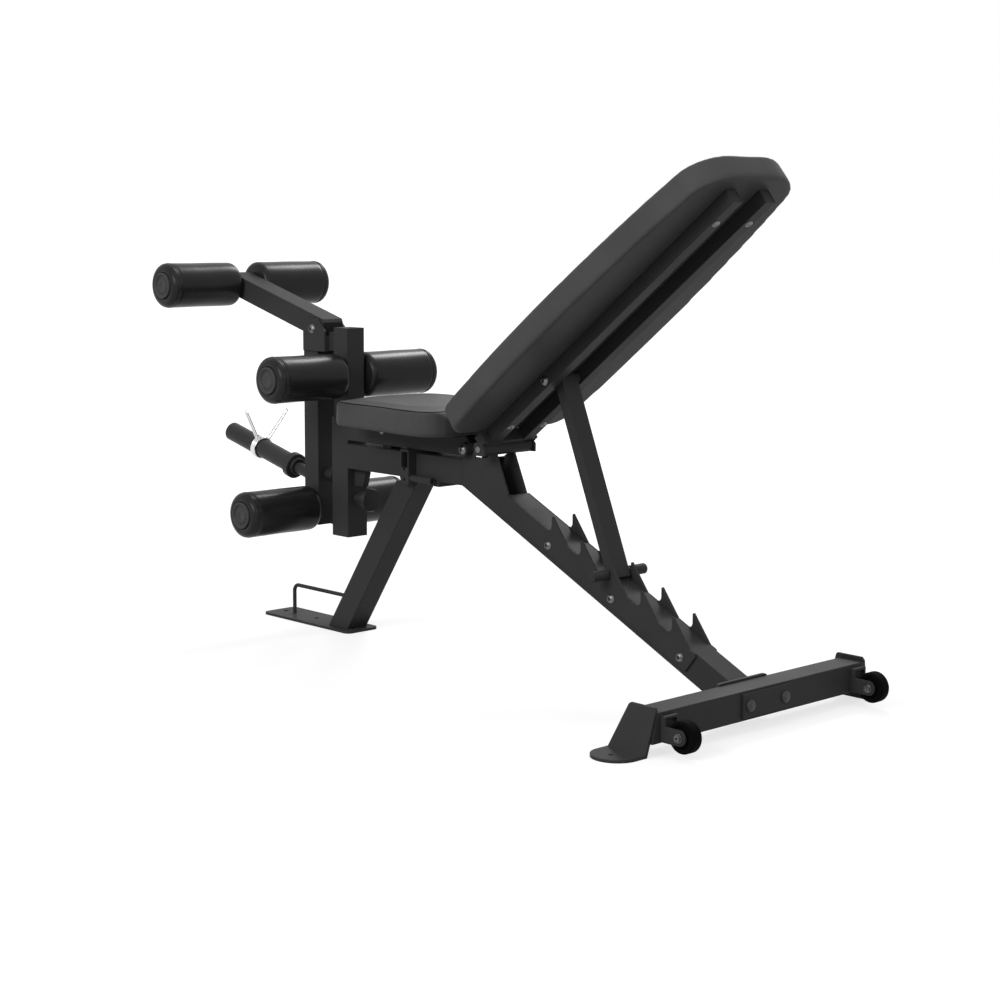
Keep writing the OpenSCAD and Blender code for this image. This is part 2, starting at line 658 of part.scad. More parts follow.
module top_axle() { color(steel) axle(top_c[0], top_c[1], axle_end); }

// weight sleeve: stub on the lever, thick flange, long bar with a chamfered end
tip_c = 3;
module sleeve_at() translate([0, lever_y0, sleeve_z]) rotate([90 - sleeve_ang, 0, 0]) children();
module sleeve() {
  color(rubber) difference() {
    sleeve_at() rotate_extrude() polygon([[0, -8], [stub_r, -8], [stub_r, stub_len], [stop_r - 1.5, stub_len],
      [stop_r, stub_len + 1.5], [stop_r, stub_len + stop_t - 3], [stop_r - 4, stub_len + stop_t],
      [sleeve_r, stub_len + stop_t], [sleeve_r, sleeve_len - tip_c], [sleeve_r - tip_c, sleeve_len], [0, sleeve_len]]);
    slab(-half, half) polygon([[lever_y0, lever_z0], [lever_y1, lever_z0], [lever_y1, lever_pz], [lever_y0, lever_pz]]);
  }
}
// spring clip: three turns of wire round the sleeve and two raised arms
wire_r = 2.5;
coil_r = sleeve_r + run_c + wire_r;
module spring_collar() {
  color(chrome) sleeve_at() translate([0, 0, collar_s]) {
    rotate_extrude() difference() {
      union() {
        for (k = [0 : 2]) translate([coil_r, k * 2 * wire_r]) circle(r = wire_r, $fn = 24);
        translate([coil_r - 1.5, 0]) square([3, 4 * wire_r]);
      }
      translate([0, -20]) square([sleeve_r + run_c, 60]);
    }
    for (s = [-1, 1]) translate([s * 13, coil_r * 0.86, (1 + s) * 2 * wire_r]) rotate([-90, 0, 0])
      rotate([0, s * 32, 0]) cylinder(r = wire_r, h = 72, $fn = 24);
  }
}

/* ---------- rollers ---------- */
module roller() {
  translate([roll_x, 0, 0]) rotate([0, 90, 0]) rotate_extrude() difference() {
    union() {
      translate([axle_r + run_c, 0]) square([roll_r - roll_round - axle_r - run_c, roll_len]);
      translate([axle_r + run_c, roll_round]) square([roll_r - axle_r - run_c, roll_len - 2 * roll_round]);
      for (z = [roll_round, roll_len - roll_round]) translate([roll_r - roll_round, z]) circle(r = roll_round);
    }
    // seat of the end cap
    translate([0, roll_len - 6]) square([roll_r - roll_round - 6, 7]);
  }
}
// end cap: raised ring round a recessed disc
cap_r = roll_r - roll_round - 6 - seat_c;
module cap() {
  translate([roll_x + roll_len - 6 + seat_c, 0, 0]) rotate([0, 90, 0]) rotate_extrude() difference() {
    union() { square([cap_r, 9]); }
    translate([-1, 6]) square([cap_r - 5, 4]);
  }
}
module at_top() translate([0, top_c[0], top_c[1]]) children();
module at_mid() translate([0, post_y, mid_z]) children();
module at_low() translate([0, lever_cy, low_z]) children();
module roller_top_l() { color(foam) at_top() roller(); }
module roller_top_r() { color(foam) at_top() mirror([1, 0, 0]) roller(); }
module roller_mid_l() { color(foam) at_mid() roller(); }
module roller_mid_r() { color(foam) at_mid() mirror([1, 0, 0]) roller(); }
module roller_low_l() { color(foam) at_low() roller(); }
module roller_low_r() { color(foam) at_low() mirror([1, 0, 0]) roller(); }
module cap_top_l() { color(rubber) at_top() cap(); }
module cap_top_r() { color(rubber) at_top() mirror([1, 0, 0]) cap(); }
module cap_mid_l() { color(rubber) at_mid() cap(); }
module cap_mid_r() { color(rubber) at_mid() mirror([1, 0, 0]) cap(); }
module cap_low_l() { color(rubber) at_low() cap(); }
module cap_low_r() { color(rubber) at_low() mirror([1, 0, 0]) cap(); }

/* ---------- backrest, in its own frame: Y along the rails, Z off the rails ---------- */
rail_n0 = -2;
pad_n = rail_n0 + rail_w;
module at_back() translate([0, hinge_y, hinge_z]) rotate([back_ang, 0, 0]) children();

// half outline of the pad: round lower corners, sides that bow in towards a round head
pad_s1 = pad_s0 + pad_len;
foot_r = 44;
head_r = 53;
head_in = 77;
function bow(t) = pad_x - (pad_x - head_x) * pow((t - 0.345) / 0.655, 2);
function side(s) = bow((s - pad_s0) / pad_len)
  - (s > pad_s1 - head_r ? head_in * (1 - sqrt(1 - pow((s - pad_s1 + head_r) / head_r, 2))) : 0);
pad_w0 = side(pad_s0 + foot_r);
pad_half = concat(
  [for (i = [0 : 5]) let(a = -90 + 15 * i) [pad_w0 - foot_r + foot_r * cos(a), pad_s0 + foot_r + foot_r * sin(a)]],
  [for (i = [0 : 9]) let(s = pad_s0 + foot_r + (pad_len - foot_r - head_r) * i / 9) [side(s), s]],
  [for (i = [1 : 7]) let(s = pad_s1 - head_r + head_r * sin(90 * i / 7)) [side(s), s]]);
function flip(p) = [for (i = [len(p) - 1 : -1 : 0]) [-p[i][0], p[i][1]]];
module back_pad() {
  color(vinyl) at_back() difference() {
    translate([0, 0, pad_n + 0.1]) linear_extrude(pad_t - 0.1) polygon(concat(pad_half, flip(pad_half)));
    // rounded-off edge towards the seat
    slab(-pad_x, pad_x) polygon([[pad_s0 - 1, pad_n + pad_t - edge_c - 1], [pad_s0 + edge_c + 1, pad_n + pad_t + 1],
                                 [pad_s0 - 1, pad_n + pad_t + 1]]);
  }
}
rail_s0 = 26;
lug_x = hinge_x + seat_c;
lug_t = 5;
bolt_pos = [rail_s0 + 49, rail_s0 + rail_len - 58];
module back_frame() {
  color(steel) difference() {
    union() {
      at_back() both() translate([rail_x - rail_w / 2, rail_s0, rail_n0]) rotate([-90, 0, 0])
        translate([0, -rail_w, 0]) linear_extrude(rail_len) ring2(rail_w, rail_w, 2);
      // plugs that close the upper ends of the rails
      at_back() both() translate([rail_x - rail_w / 2 + 1, rail_s0 + rail_len - 5, rail_n0 + 1])
        cube([rail_w - 2, 4, rail_w - 2]);
      // foot of the rails: a cross tube and two lugs that hold the hinge bolt
      at_back() translate([-lug_x - lug_t, rail_s0 - 6, rail_n0 + 1]) cube([2 * (lug_x + lug_t), 6, rail_w - 1]);
      both() slab(lug_x, lug_x + lug_t) union() {
        translate([hinge_y, hinge_z]) rotate(back_ang) translate([6, rail_n0 + 1]) square([rail_s0 - 6, rail_w - 1]);
        translate([hinge_y, hinge_z]) polygon([[-11, -12], [16, -12], [16, 3], [9, 11], [-11, 11]]);
      }
    }
    xcyl(hinge_y, hinge_z, bolt_r, -90, 90);
    at_back() translate([0, strut_s, rail_n0 + rail_w / 2]) rotate([0, 90, 0]) cylinder(r = bolt_r, h = 160, center = true);
    at_back() for (s = bolt_pos, x = [-rail_x, rail_x]) translate([x, s, rail_n0 - 1]) cylinder(r = pad_bolt_r + run_c, h = rail_w + 2);
  }
}
module back_bolts() {
  color(chrome) at_back() for (s = bolt_pos, x = [-rail_x, rail_x]) translate([x, s, rail_n0]) {
    cylinder(r = pad_bolt_r, h = rail_w);
    rotate([180, 0, 0]) dome(pad_bolt_head, pad_bolt_dome);
  }
}
module hinge_bolt() {
  color(chrome) {
    xcyl(hinge_y, hinge_z, bolt_r, -lug_x - lug_t - 1, lug_x + lug_t + 1);
  }
}
strut_p = [hinge_y, hinge_z] + [strut_s * cos(back_ang) - (rail_n0 + rail_w / 2) * sin(back_ang),
                                strut_s * sin(back_ang) + (rail_n0 + rail_w / 2) * cos(back_ang)];
module strut_bolt() {
  color(chrome) {
    xcyl(strut_p[0], strut_p[1], bolt_r, -rail_x - rail_w / 2, rail_x + rail_w / 2);
    both() xdome(rail_x + rail_w / 2, strut_p[0], strut_p[1], 9, 5);
  }
}

/* ---------- strut ---------- */
rest_k = 2;
bar = notch(rest_k);
strut_v = bar - strut_p;
strut_l = norm(strut_v);
strut_a = atan2(strut_v[1], strut_v[0]);
module strut() {
  color(steel) difference() {
    union() {
      intersection() {
        translate([0, strut_p[0], strut_p[1]]) rotate([strut_a, 0, 0]) difference() {
          union() {
            translate([-strut_w / 2, 0, -strut_d / 2]) cube([strut_w, strut_l + 10, strut_d]);
            translate([-strut_w / 2, 0, 0]) rotate([0, 90, 0]) cylinder(r = strut_d / 2, h = strut_w);
          }
          translate([-strut_w / 2 + 2.5, 18, -strut_d / 2 + 2.5]) cube([strut_w - 5, strut_l - 40, strut_d - 5]);
        }
        // the foot is cut parallel to the spine
        slab(-strut_w, strut_w) polygon([sp(-200, tube_w + 2), sp(900, tube_w + 2), sp(900, 900), sp(-200, 900)]);
      }
      xcyl(bar[0], bar[1], bar_r, -bar_x, bar_x);
      both() xcyl(bar[0], bar[1], grip_r, half + ladder_t + 1.5, bar_x);
      // bushes that fill the space between the rails
      xcyl(strut_p[0], strut_p[1], 9.5, -rail_x + rail_w / 2 + seat_c, rail_x - rail_w / 2 - seat_c);
    }
    xcyl(strut_p[0], strut_p[1], bolt_r + run_c, -90, 90);
  }
}

/* ---------- seat ---------- */
module seat_pad() {
  r0 = 34; r1 = 56;
  xa = seat_x0; xb = seat_x1; ya = seat_y0; yb = seat_y1;
  color(vinyl) difference() { translate([0, 0, seat_z + 0.1]) linear_extrude(pad_t - 0.1) polygon(concat(
    [for (i = [0 : 5]) let(a = -90 + 18 * i) [xa - r0 + r0 * cos(a), ya + r0 + r0 * sin(a)]],
    [for (i = [0 : 5]) let(a = 18 * i) [xb - r1 + r1 * cos(a), yb - r1 + r1 * sin(a)]],
    [for (i = [5 : -1 : 0]) let(a = 18 * i) [-(xb - r1 + r1 * cos(a)), yb - r1 + r1 * sin(a)]],
    [for (i = [5 : -1 : 0]) let(a = -90 + 18 * i) [-(xa - r0 + r0 * cos(a)), ya + r0 + r0 * sin(a)]]));
    // rounded-off edge towards the backrest
    slab(-xb, xb) polygon([[yb + 1, seat_z + pad_t - edge_c - 1], [yb + 1, seat_z + pad_t + 1],
                           [yb - edge_c - 1, seat_z + pad_t + 1]]);
  }
}
seat_f = seat_y0 + 12;
seat_rail_x = half + seat_c + seat_rail_t;
seat_rail_z = seat_z - seat_rail_h;
seat_fl = 24;
seat_cross = 24;
seat_cross_h = 22;
seat_block_x = 16;
seat_bolt_x = seat_rail_x + seat_fl / 2;
seat_bolt_y = [for (f = [0.21, 0.79]) seat_f + f * (seat_py - seat_f)];
module seat_frame() {
  color(steel) difference() {
    union() {
      both() {
        slab(seat_rail_x - seat_rail_t, seat_rail_x) {
          polygon([[seat_rail_y0, seat_rail_z], [seat_rail_y0, seat_z], [seat_py - 4, seat_z],
                   [seat_py + 12, seat_pz + 6], [seat_py, seat_rail_z]]);
          translate([seat_py, seat_pz]) circle(r = hinge_r);
        }
        xcyl(seat_py, seat_pz, hinge_r, seat_rail_x - 0.1, seat_bush_x);
        // flange under the pad
        translate([seat_rail_x - 0.1, seat_f, seat_z - 4]) cube([seat_fl, seat_py - 10 - seat_f, 4]);
      }
      // cross pieces, and a block that comes down on the developer's tube
      for (y = [seat_f + 20, seat_py - 3.7 * seat_cross])
        translate([-seat_rail_x + 1, y, seat_z - seat_cross_h]) cube([2 * seat_rail_x - 2, seat_cross, seat_cross_h]);
      translate([-seat_block_x, seat_f + 20, main_top + seat_c])
        cube([2 * seat_block_x, seat_cross, seat_z - seat_cross_h + 1 - main_top]);
    }
    xcyl(seat_py, seat_pz, bolt_r, -90, 90);
    for (y = seat_bolt_y, s = [-1, 1]) translate([s * seat_bolt_x, y, seat_z - 6]) cylinder(r = pad_bolt_r + run_c, h = 8);
  }
}
module seat_bolts() {
  color(chrome) {
    for (y = seat_bolt_y, s = [-1, 1]) translate([s * seat_bolt_x, y, seat_z - 4]) {
      cylinder(r = pad_bolt_r, h = 4);
      rotate([180, 0, 0]) dome(pad_bolt_head, pad_bolt_dome);
    }
    // one through each rail into the front cross piece
    both() xdome(seat_rail_x, seat_f + 20 + seat_cross / 2, seat_z - seat_cross_h / 2 - 2, pad_bolt_head, pad_bolt_dome);
  }
}
module seat_pivot() {
  color(chrome) {
    xcyl(seat_py, seat_pz, bolt_r, -seat_bush_x, seat_bush_x);
    both() xdome(seat_bush_x, seat_py, seat_pz, 9.5, 5);
  }
}

// the footprint runs from the sleeve's tip or the top roller to the wheels
y_lo = min(lever_y0 - sleeve_len * cos(sleeve_ang) - (sleeve_r - tip_c) * sin(sleeve_ang), top_c[0] - roll_r);
y_mid = (wheel_y + wheel_r + y_lo) / 2;

centred() crossbar();
centred() foot_plate_l();
centred() foot_plate_r();
centred() wheel_fork_l();
centred() wheel_fork_r();
centred() wheel_axle_l();
centred() wheel_axle_r();
centred() wheel_l();
centred() wheel_r();
centred() base_bolts();
centred() spine();
centred() ladder_l();
centred() ladder_r();
centred() ladder_bolts();
centred() neck();
centred() main_tube();
centred() front_leg();
centred() front_plate();
centred() foot_handle();
centred() coupler();
centred() lock_pins();
centred() dev_tube();
centred() bumper();
centred() back_pad();
centred() back_frame();
centred() back_bolts();
centred() hinge_bolt();
centred() strut_bolt();
centred() strut();
centred() seat_pad();
centred() seat_frame();
centred() seat_bolts();
centred() seat_pivot();
centred() inner_post();
centred() mid_axle();
centred() lever_pivot();
centred() lever();
centred() low_axle();
centred() top_axle();
centred() sleeve();
centred() roller_top_l();
centred() roller_top_r();
centred() roller_mid_l();
centred() roller_mid_r();
centred() roller_low_l();
centred() roller_low_r();
centred() cap_top_l();
centred() cap_top_r();
centred() cap_mid_l();
centred() cap_mid_r();
centred() cap_low_l();
centred() cap_low_r();
centred() pop_pin();
centred() spring_collar();
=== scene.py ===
# %% [markdown]
# # An adjustable weight bench with a leg developer
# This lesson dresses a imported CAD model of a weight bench. The CAD holds every
# rigid piece at its real size. Blender adds what CAD can't: swollen vinyl
# pads, foam rollers, and finishes with grain, sheen and a little wear.
# Everything is in metres. +Z is up, the user faces -Y, the wheels are at +Y.

# %% Load the frame
import json
import math

import bmesh
import bpy
import numpy as np
from mathutils import Matrix, Vector
from mathutils.bvhtree import BVHTree


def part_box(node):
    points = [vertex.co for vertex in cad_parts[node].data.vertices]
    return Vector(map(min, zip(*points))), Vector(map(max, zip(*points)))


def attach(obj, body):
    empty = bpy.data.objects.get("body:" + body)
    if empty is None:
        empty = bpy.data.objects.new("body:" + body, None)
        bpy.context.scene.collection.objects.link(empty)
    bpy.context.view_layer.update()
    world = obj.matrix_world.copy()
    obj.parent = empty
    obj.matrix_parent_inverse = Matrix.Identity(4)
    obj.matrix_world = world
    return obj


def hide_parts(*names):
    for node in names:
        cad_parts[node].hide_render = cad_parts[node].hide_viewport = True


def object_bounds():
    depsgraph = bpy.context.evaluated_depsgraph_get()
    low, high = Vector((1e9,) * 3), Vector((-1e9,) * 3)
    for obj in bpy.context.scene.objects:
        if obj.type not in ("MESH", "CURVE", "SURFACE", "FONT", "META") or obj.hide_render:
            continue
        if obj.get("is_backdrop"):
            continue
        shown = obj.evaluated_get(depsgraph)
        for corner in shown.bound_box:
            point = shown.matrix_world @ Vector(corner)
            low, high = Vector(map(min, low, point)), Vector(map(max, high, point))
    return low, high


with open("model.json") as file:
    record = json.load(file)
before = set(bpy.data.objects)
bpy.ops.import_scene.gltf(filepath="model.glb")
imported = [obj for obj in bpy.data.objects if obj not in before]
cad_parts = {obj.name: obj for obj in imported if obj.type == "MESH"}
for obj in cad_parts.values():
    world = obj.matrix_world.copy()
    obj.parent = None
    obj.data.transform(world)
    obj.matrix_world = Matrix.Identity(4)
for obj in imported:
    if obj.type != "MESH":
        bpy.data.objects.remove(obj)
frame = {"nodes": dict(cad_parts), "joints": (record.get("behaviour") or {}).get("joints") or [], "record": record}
cad_lo, cad_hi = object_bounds()
nodes = frame["nodes"]
joints = {j["name"]: j for j in frame["joints"]}
scene = bpy.context.scene
print("bench box:", [round(v, 4) for v in (*cad_lo, *cad_hi)])

# %% [markdown]
# ## Camera
# The bench is seen from behind its left shoulder, a little above the seat. The
# camera stands about 3.9 m away with a moderately long lens, so the tubes stay
# nearly parallel. Its axes are built from an azimuth, an elevation and a roll,
# which is easier to reason about than three Euler angles.

# %% Camera
def look_axes(azimuth, elevation, roll):
    a, e, r = (math.radians(v) for v in (azimuth, elevation, roll))
    back = Vector((math.sin(a) * math.cos(e), -math.cos(a) * math.cos(e), math.sin(e)))
    right = (-back).cross(Vector((0, 0, 1))).normalized()
    up = right.cross(-back)
    x = right * math.cos(r) + up * math.sin(r)
    y = up * math.cos(r) - right * math.sin(r)
    return Matrix((x, y, back)).transposed()


camera_data = bpy.data.cameras.new("camera")
camera_data.lens = 71.637      # millimetres, as is the sensor's width
camera_data.sensor_width = 36
camera = bpy.data.objects.new("camera", camera_data)
scene.collection.objects.link(camera)
axes = look_axes(azimuth=136.389, elevation=8.16, roll=0.301)
camera.matrix_world = Matrix.Translation((2.5617, 2.7597, 0.8488)) @ axes.to_4x4()
scene.camera = camera
print("camera at", tuple(round(v, 3) for v in camera.location))

# %% [markdown]
# ## Shader groups
# Several finishes share the same small effects, so each effect is a node group
# with named inputs, placed in a material with its own values. The groups put
# out only masks, values and normals. The shader itself stays in the material.
#
# The first group, `rounded edges`, is what makes a CAD tube look rolled: a Bevel
# node bends the normal near each sharp edge, and the difference from the flat
# normal is also a mask of the places where a finish wears.

# %% Helpers for node groups and materials
def make_group(name, inputs, outputs):
    tree = bpy.data.node_groups.new(name, "ShaderNodeTree")
    for label, kind, value in inputs:
        s = tree.interface.new_socket(name=label, in_out="INPUT", socket_type=kind)
        if value is not None:
            s.default_value = value
    for label, kind in outputs:
        tree.interface.new_socket(name=label, in_out="OUTPUT", socket_type=kind)
    return tree, tree.nodes.new("NodeGroupInput"), tree.nodes.new("NodeGroupOutput")


def node(tree, kind, **settings):
    n = tree.nodes.new(kind)
    for key, value in settings.items():
        if key.startswith("in_"):
            n.inputs[key[3:].replace("_", " ")].default_value = value
        else:
            setattr(n, key, value)
    return n


FLOAT, VECTOR = "NodeSocketFloat", "NodeSocketVector"

# %% Group: rounded edges
edges_tree, gi, go = make_group(
    "rounded edges",
    [("Radius", FLOAT, 0.003), ("Wear start", FLOAT, 0.03), ("Wear end", FLOAT, 0.25),
     ("Breakup", FLOAT, 140.0)],
    [("Normal", VECTOR), ("Wear", FLOAT)])
link = edges_tree.links.new
bevel = node(edges_tree, "ShaderNodeBevel", samples=4)
geometry = node(edges_tree, "ShaderNodeNewGeometry")
dot = node(edges_tree, "ShaderNodeVectorMath", operation="DOT_PRODUCT")
away = node(edges_tree, "ShaderNodeMath", operation="SUBTRACT")
away.inputs[0].default_value = 1.0
mask = node(edges_tree, "ShaderNodeMapRange", interpolation_type="SMOOTHSTEP")
coords = node(edges_tree, "ShaderNodeTexCoord")
spots = node(edges_tree, "ShaderNodeTexNoise", in_Detail=3.0, in_Roughness=0.65)
threshold = node(edges_tree, "ShaderNodeMapRange")
threshold.inputs["From Min"].default_value = 0.52
threshold.inputs["From Max"].default_value = 0.66
worn = node(edges_tree, "ShaderNodeMath", operation="MULTIPLY")
link(gi.outputs["Radius"], bevel.inputs["Radius"])
link(bevel.outputs["Normal"], dot.inputs[0])
link(geometry.outputs["Normal"], dot.inputs[1])
link(dot.outputs["Value"], away.inputs[1])
link(away.outputs[0], mask.inputs["Value"])
link(gi.outputs["Wear start"], mask.inputs["From Min"])
link(gi.outputs["Wear end"], mask.inputs["From Max"])
link(coords.outputs["Object"], spots.inputs["Vector"])
link(gi.outputs["Breakup"], spots.inputs["Scale"])
link(spots.outputs["Fac"], threshold.inputs["Value"])
link(mask.outputs["Result"], worn.inputs[0])
link(threshold.outputs["Result"], worn.inputs[1])
link(bevel.outputs["Normal"], go.inputs["Normal"])
link(worn.outputs[0], go.inputs["Wear"])
print("group", edges_tree.name)

# %% [markdown]
# `fine grain` gives a height for a Bump node and a slow variation from place to
# place: the orange peel of powder coat, the pebbles of vinyl, the pores of foam.
# Voronoi makes cells with creases between them, noise softens them.

# %% Group: fine grain
grain_tree, gi, go = make_group(
    "fine grain",
    [("Scale", FLOAT, 900.0), ("Cells", FLOAT, 0.5), ("Patch scale", FLOAT, 9.0)],
    [("Height", FLOAT), ("Patches", FLOAT)])
link = grain_tree.links.new
coords = node(grain_tree, "ShaderNodeTexCoord")
cells = node(grain_tree, "ShaderNodeTexVoronoi", feature="DISTANCE_TO_EDGE")
crease = node(grain_tree, "ShaderNodeMapRange", interpolation_type="SMOOTHSTEP")
crease.inputs["From Max"].default_value = 0.16
soft = node(grain_tree, "ShaderNodeTexNoise", in_Detail=2.0, in_Roughness=0.5)
mix = node(grain_tree, "ShaderNodeMix", data_type="FLOAT")
patches = node(grain_tree, "ShaderNodeTexNoise", in_Detail=3.0, in_Roughness=0.55)
for texture in (cells, soft, patches):
    link(coords.outputs["Object"], texture.inputs["Vector"])
link(gi.outputs["Scale"], cells.inputs["Scale"])
link(gi.outputs["Scale"], soft.inputs["Scale"])
link(gi.outputs["Patch scale"], patches.inputs["Scale"])
link(cells.outputs["Distance"], crease.inputs["Value"])
link(gi.outputs["Cells"], mix.inputs["Factor"])
link(soft.outputs["Fac"], mix.inputs["A"])
link(crease.outputs["Result"], mix.inputs["B"])
link(mix.outputs["Result"], go.inputs["Height"])
link(patches.outputs["Fac"], go.inputs["Patches"])
print("group", grain_tree.name)

# %% [markdown]
# `settled dust` is the faint pale film that gathers on faces that look up. It
# reads the surface normal, so it stays put when the bench folds.

# %% Group: settled dust
dust_tree, gi, go = make_group(
    "settled dust", [("Amount", FLOAT, 0.2), ("Scale", FLOAT, 24.0)], [("Dust", FLOAT)])
link = dust_tree.links.new
geometry = node(dust_tree, "ShaderNodeNewGeometry")
split = node(dust_tree, "ShaderNodeSeparateXYZ")
upward = node(dust_tree, "ShaderNodeMapRange", interpolation_type="SMOOTHSTEP")
upward.inputs["From Min"].default_value = 0.35
upward.inputs["From Max"].default_value = 1.0
coords = node(dust_tree, "ShaderNodeTexCoord")
cloud = node(dust_tree, "ShaderNodeTexNoise", in_Detail=5.0, in_Roughness=0.62)
patchy = node(dust_tree, "ShaderNodeMath", operation="MULTIPLY")
scaled = node(dust_tree, "ShaderNodeMath", operation="MULTIPLY")
link(geometry.outputs["Normal"], split.inputs[0])
link(split.outputs["Z"], upward.inputs["Value"])
link(coords.outputs["Object"], cloud.inputs["Vector"])
link(gi.outputs["Scale"], cloud.inputs["Scale"])
link(upward.outputs["Result"], patchy.inputs[0])
link(cloud.outputs["Fac"], patchy.inputs[1])
link(patchy.outputs[0], scaled.inputs[0])
link(gi.outputs["Amount"], scaled.inputs[1])
link(scaled.outputs[0], go.inputs["Dust"])
print("group", dust_tree.name)

# %% [markdown]
# ## Finishes
# Every finish is built the same way: a base colour that drifts slightly over the
# piece, a worn or dusty second colour, a roughness that follows the grain, and a
# bump on top of the rounded-edge normal. One function writes that down, and each
# finish is a short list of its own values.

# %% The shared recipe of a finish
COLOR_DRIFT = 0.25                 # share by which a base colour drifts either way
DUST_COLOR = (0.3, 0.29, 0.27, 1)


def finish(name, slot, color, roughness, grain, cells, bump, distance, second=None, radius=0.0,
           wear=0.0, dust=0.0, metallic=0.0, specular=0.5, patch=9.0, rough_spread=0.12):
    m = bpy.data.materials.new(name)
    m.use_nodes = True
    m["finish_slot"] = slot
    tree = m.node_tree
    link = tree.links.new
    shader = tree.nodes["Principled BSDF"]
    shader.inputs["Metallic"].default_value = metallic
    shader.inputs["Specular IOR Level"].default_value = specular
    g = node(tree, "ShaderNodeGroup", node_tree=grain_tree)
    g.inputs["Scale"].default_value = grain
    g.inputs["Cells"].default_value = cells
    g.inputs["Patch scale"].default_value = patch
    base = node(tree, "ShaderNodeMix", data_type="RGBA", blend_type="MIX")
    base.inputs["A"].default_value = (*[c * (1 - COLOR_DRIFT) for c in color], 1)
    base.inputs["B"].default_value = (*[c * (1 + COLOR_DRIFT) for c in color], 1)
    link(g.outputs["Patches"], base.inputs["Factor"])
    out = base.outputs["Result"]
    rough = node(tree, "ShaderNodeMapRange")
    rough.inputs["To Min"].default_value = roughness - rough_spread
    rough.inputs["To Max"].default_value = roughness + rough_spread
    link(g.outputs["Patches"], rough.inputs["Value"])
    normal = None
    if radius:
        e = node(tree, "ShaderNodeGroup", node_tree=edges_tree)
        e.inputs["Radius"].default_value = radius
        normal = e.outputs["Normal"]
        if wear:
            amount = node(tree, "ShaderNodeMath", operation="MULTIPLY", use_clamp=True)
            amount.inputs[1].default_value = wear
            link(e.outputs["Wear"], amount.inputs[0])
            worn = node(tree, "ShaderNodeMix", data_type="RGBA")
            worn.inputs["B"].default_value = (*second, 1)
            link(amount.outputs[0], worn.inputs["Factor"])
            link(out, worn.inputs["A"])
            out = worn.outputs["Result"]
    if dust:
        d = node(tree, "ShaderNodeGroup", node_tree=dust_tree)
        d.inputs["Amount"].default_value = dust
        film = node(tree, "ShaderNodeMix", data_type="RGBA")
        film.inputs["B"].default_value = DUST_COLOR
        link(d.outputs["Dust"], film.inputs["Factor"])
        link(out, film.inputs["A"])
        out = film.outputs["Result"]
    b = node(tree, "ShaderNodeBump", in_Strength=bump, in_Distance=distance)
    link(g.outputs["Height"], b.inputs["Height"])
    if normal:
        link(normal, b.inputs["Normal"])
    link(out, shader.inputs["Base Color"])
    link(rough.outputs["Result"], shader.inputs["Roughness"])
    link(b.outputs["Normal"], shader.inputs["Normal"])
    m.diffuse_color = (*color, 1)
    print("finish", name)
    return m


# %% [markdown]
# **Powder coat** on the tubes is satin black with a faint orange peel, rubbed to
# a slightly paler grey on its edges. **Zinc** on the bolts is bright and a
# little cloudy. **Vinyl** on the pads has a pebbled grain and a soft sheen.
# **Foam skin** is duller, with fine pores. The **plastics** and the **tyres** are
# moulded: nearly smooth, with a matte break-up.

# %% The bench's finishes
powder_coat = finish("powder coat", "black_paint", (0.0370, 0.0370, 0.0380), 0.52,
                     grain=620, cells=0.15, bump=0.10, distance=0.0006, specular=0.08,
                     second=(0.10, 0.10, 0.104), radius=0.0032, wear=0.3, dust=0.03)
zinc_plate = finish("zinc plate", "zinc", (0.14, 0.14, 0.145), 0.34,
                    grain=900, cells=0.2, bump=0.08, distance=0.0003, metallic=1.0, patch=60,
                    second=(0.5, 0.5, 0.51), radius=0.0008, wear=0.5)
bright_wire = finish("bright wire", "zinc", (0.72, 0.73, 0.75), 0.18,
                     grain=900, cells=0.2, bump=0.05, distance=0.0003, metallic=1.0, patch=80)
pad_vinyl = finish("pad vinyl", "vinyl", (0.064, 0.064, 0.0645), 0.50,
                   grain=760, cells=0.75, bump=0.16, distance=0.0005, specular=0.08,
                   dust=0.03, patch=7, rough_spread=0.05)
foam_skin = finish("foam skin", "foam", (0.0150, 0.0150, 0.0155), 0.30,
                   grain=1300, cells=0.45, bump=0.05, distance=0.0004, specular=0.14,
                   patch=18, rough_spread=0.02)
moulded_plastic = finish("moulded plastic", "black_plastic", (0.027, 0.027, 0.028), 0.42,
                         grain=1500, cells=0.4, bump=0.14, distance=0.0004, specular=0.10,
                         patch=30, second=(0.07, 0.07, 0.07), radius=0.0012, wear=0.3)
cap_plastic = finish("cap plastic", "black_plastic", (0.054, 0.054, 0.055), 0.44,
                     grain=1500, cells=0.4, bump=0.12, distance=0.0004, specular=0.10, patch=40)
tyre_rubber = finish("tyre rubber", "wheel_rubber", (0.003, 0.003, 0.0032), 0.8,
                     grain=500, cells=0.3, bump=0.3, distance=0.0006, specular=0.03, patch=25,
                     second=(0.01, 0.01, 0.01), radius=0.0015, wear=0.5, dust=0.02)
sleeve_skin = finish("sleeve skin", "sleeve_plastic", (0.038, 0.038, 0.039), 0.36,
                     grain=700, cells=0.1, bump=0.08, distance=0.0005, specular=0.10,
                     second=(0.09, 0.09, 0.09), radius=0.0018, wear=0.3, dust=0.03)
# Painted shade: this near-black colour stands in for the shade inside each hex socket's recess.
socket_shade = finish("painted socket shade", "zinc", (0.012, 0.012, 0.013), 0.5,
                      grain=900, cells=0.3, bump=0.1, distance=0.0002, metallic=0.4,
                      specular=0.2, patch=60)
# Painted shade: this near-black colour stands in for the shade in the crease along the seat's seam.
seam_shade = finish("seam painted shade", "vinyl", (0.0045, 0.0045, 0.005), 0.6,
                     grain=1800, cells=0.6, bump=0.2, distance=0.0003, specular=0.1, patch=80)
worn_paint = finish("worn paint", "black_paint", (0.046, 0.046, 0.048), 0.4,
                    grain=620, cells=0.2, bump=0.12, distance=0.0005, specular=0.25, patch=50,
                    second=(0.10, 0.10, 0.10), radius=0.001, wear=0.6)
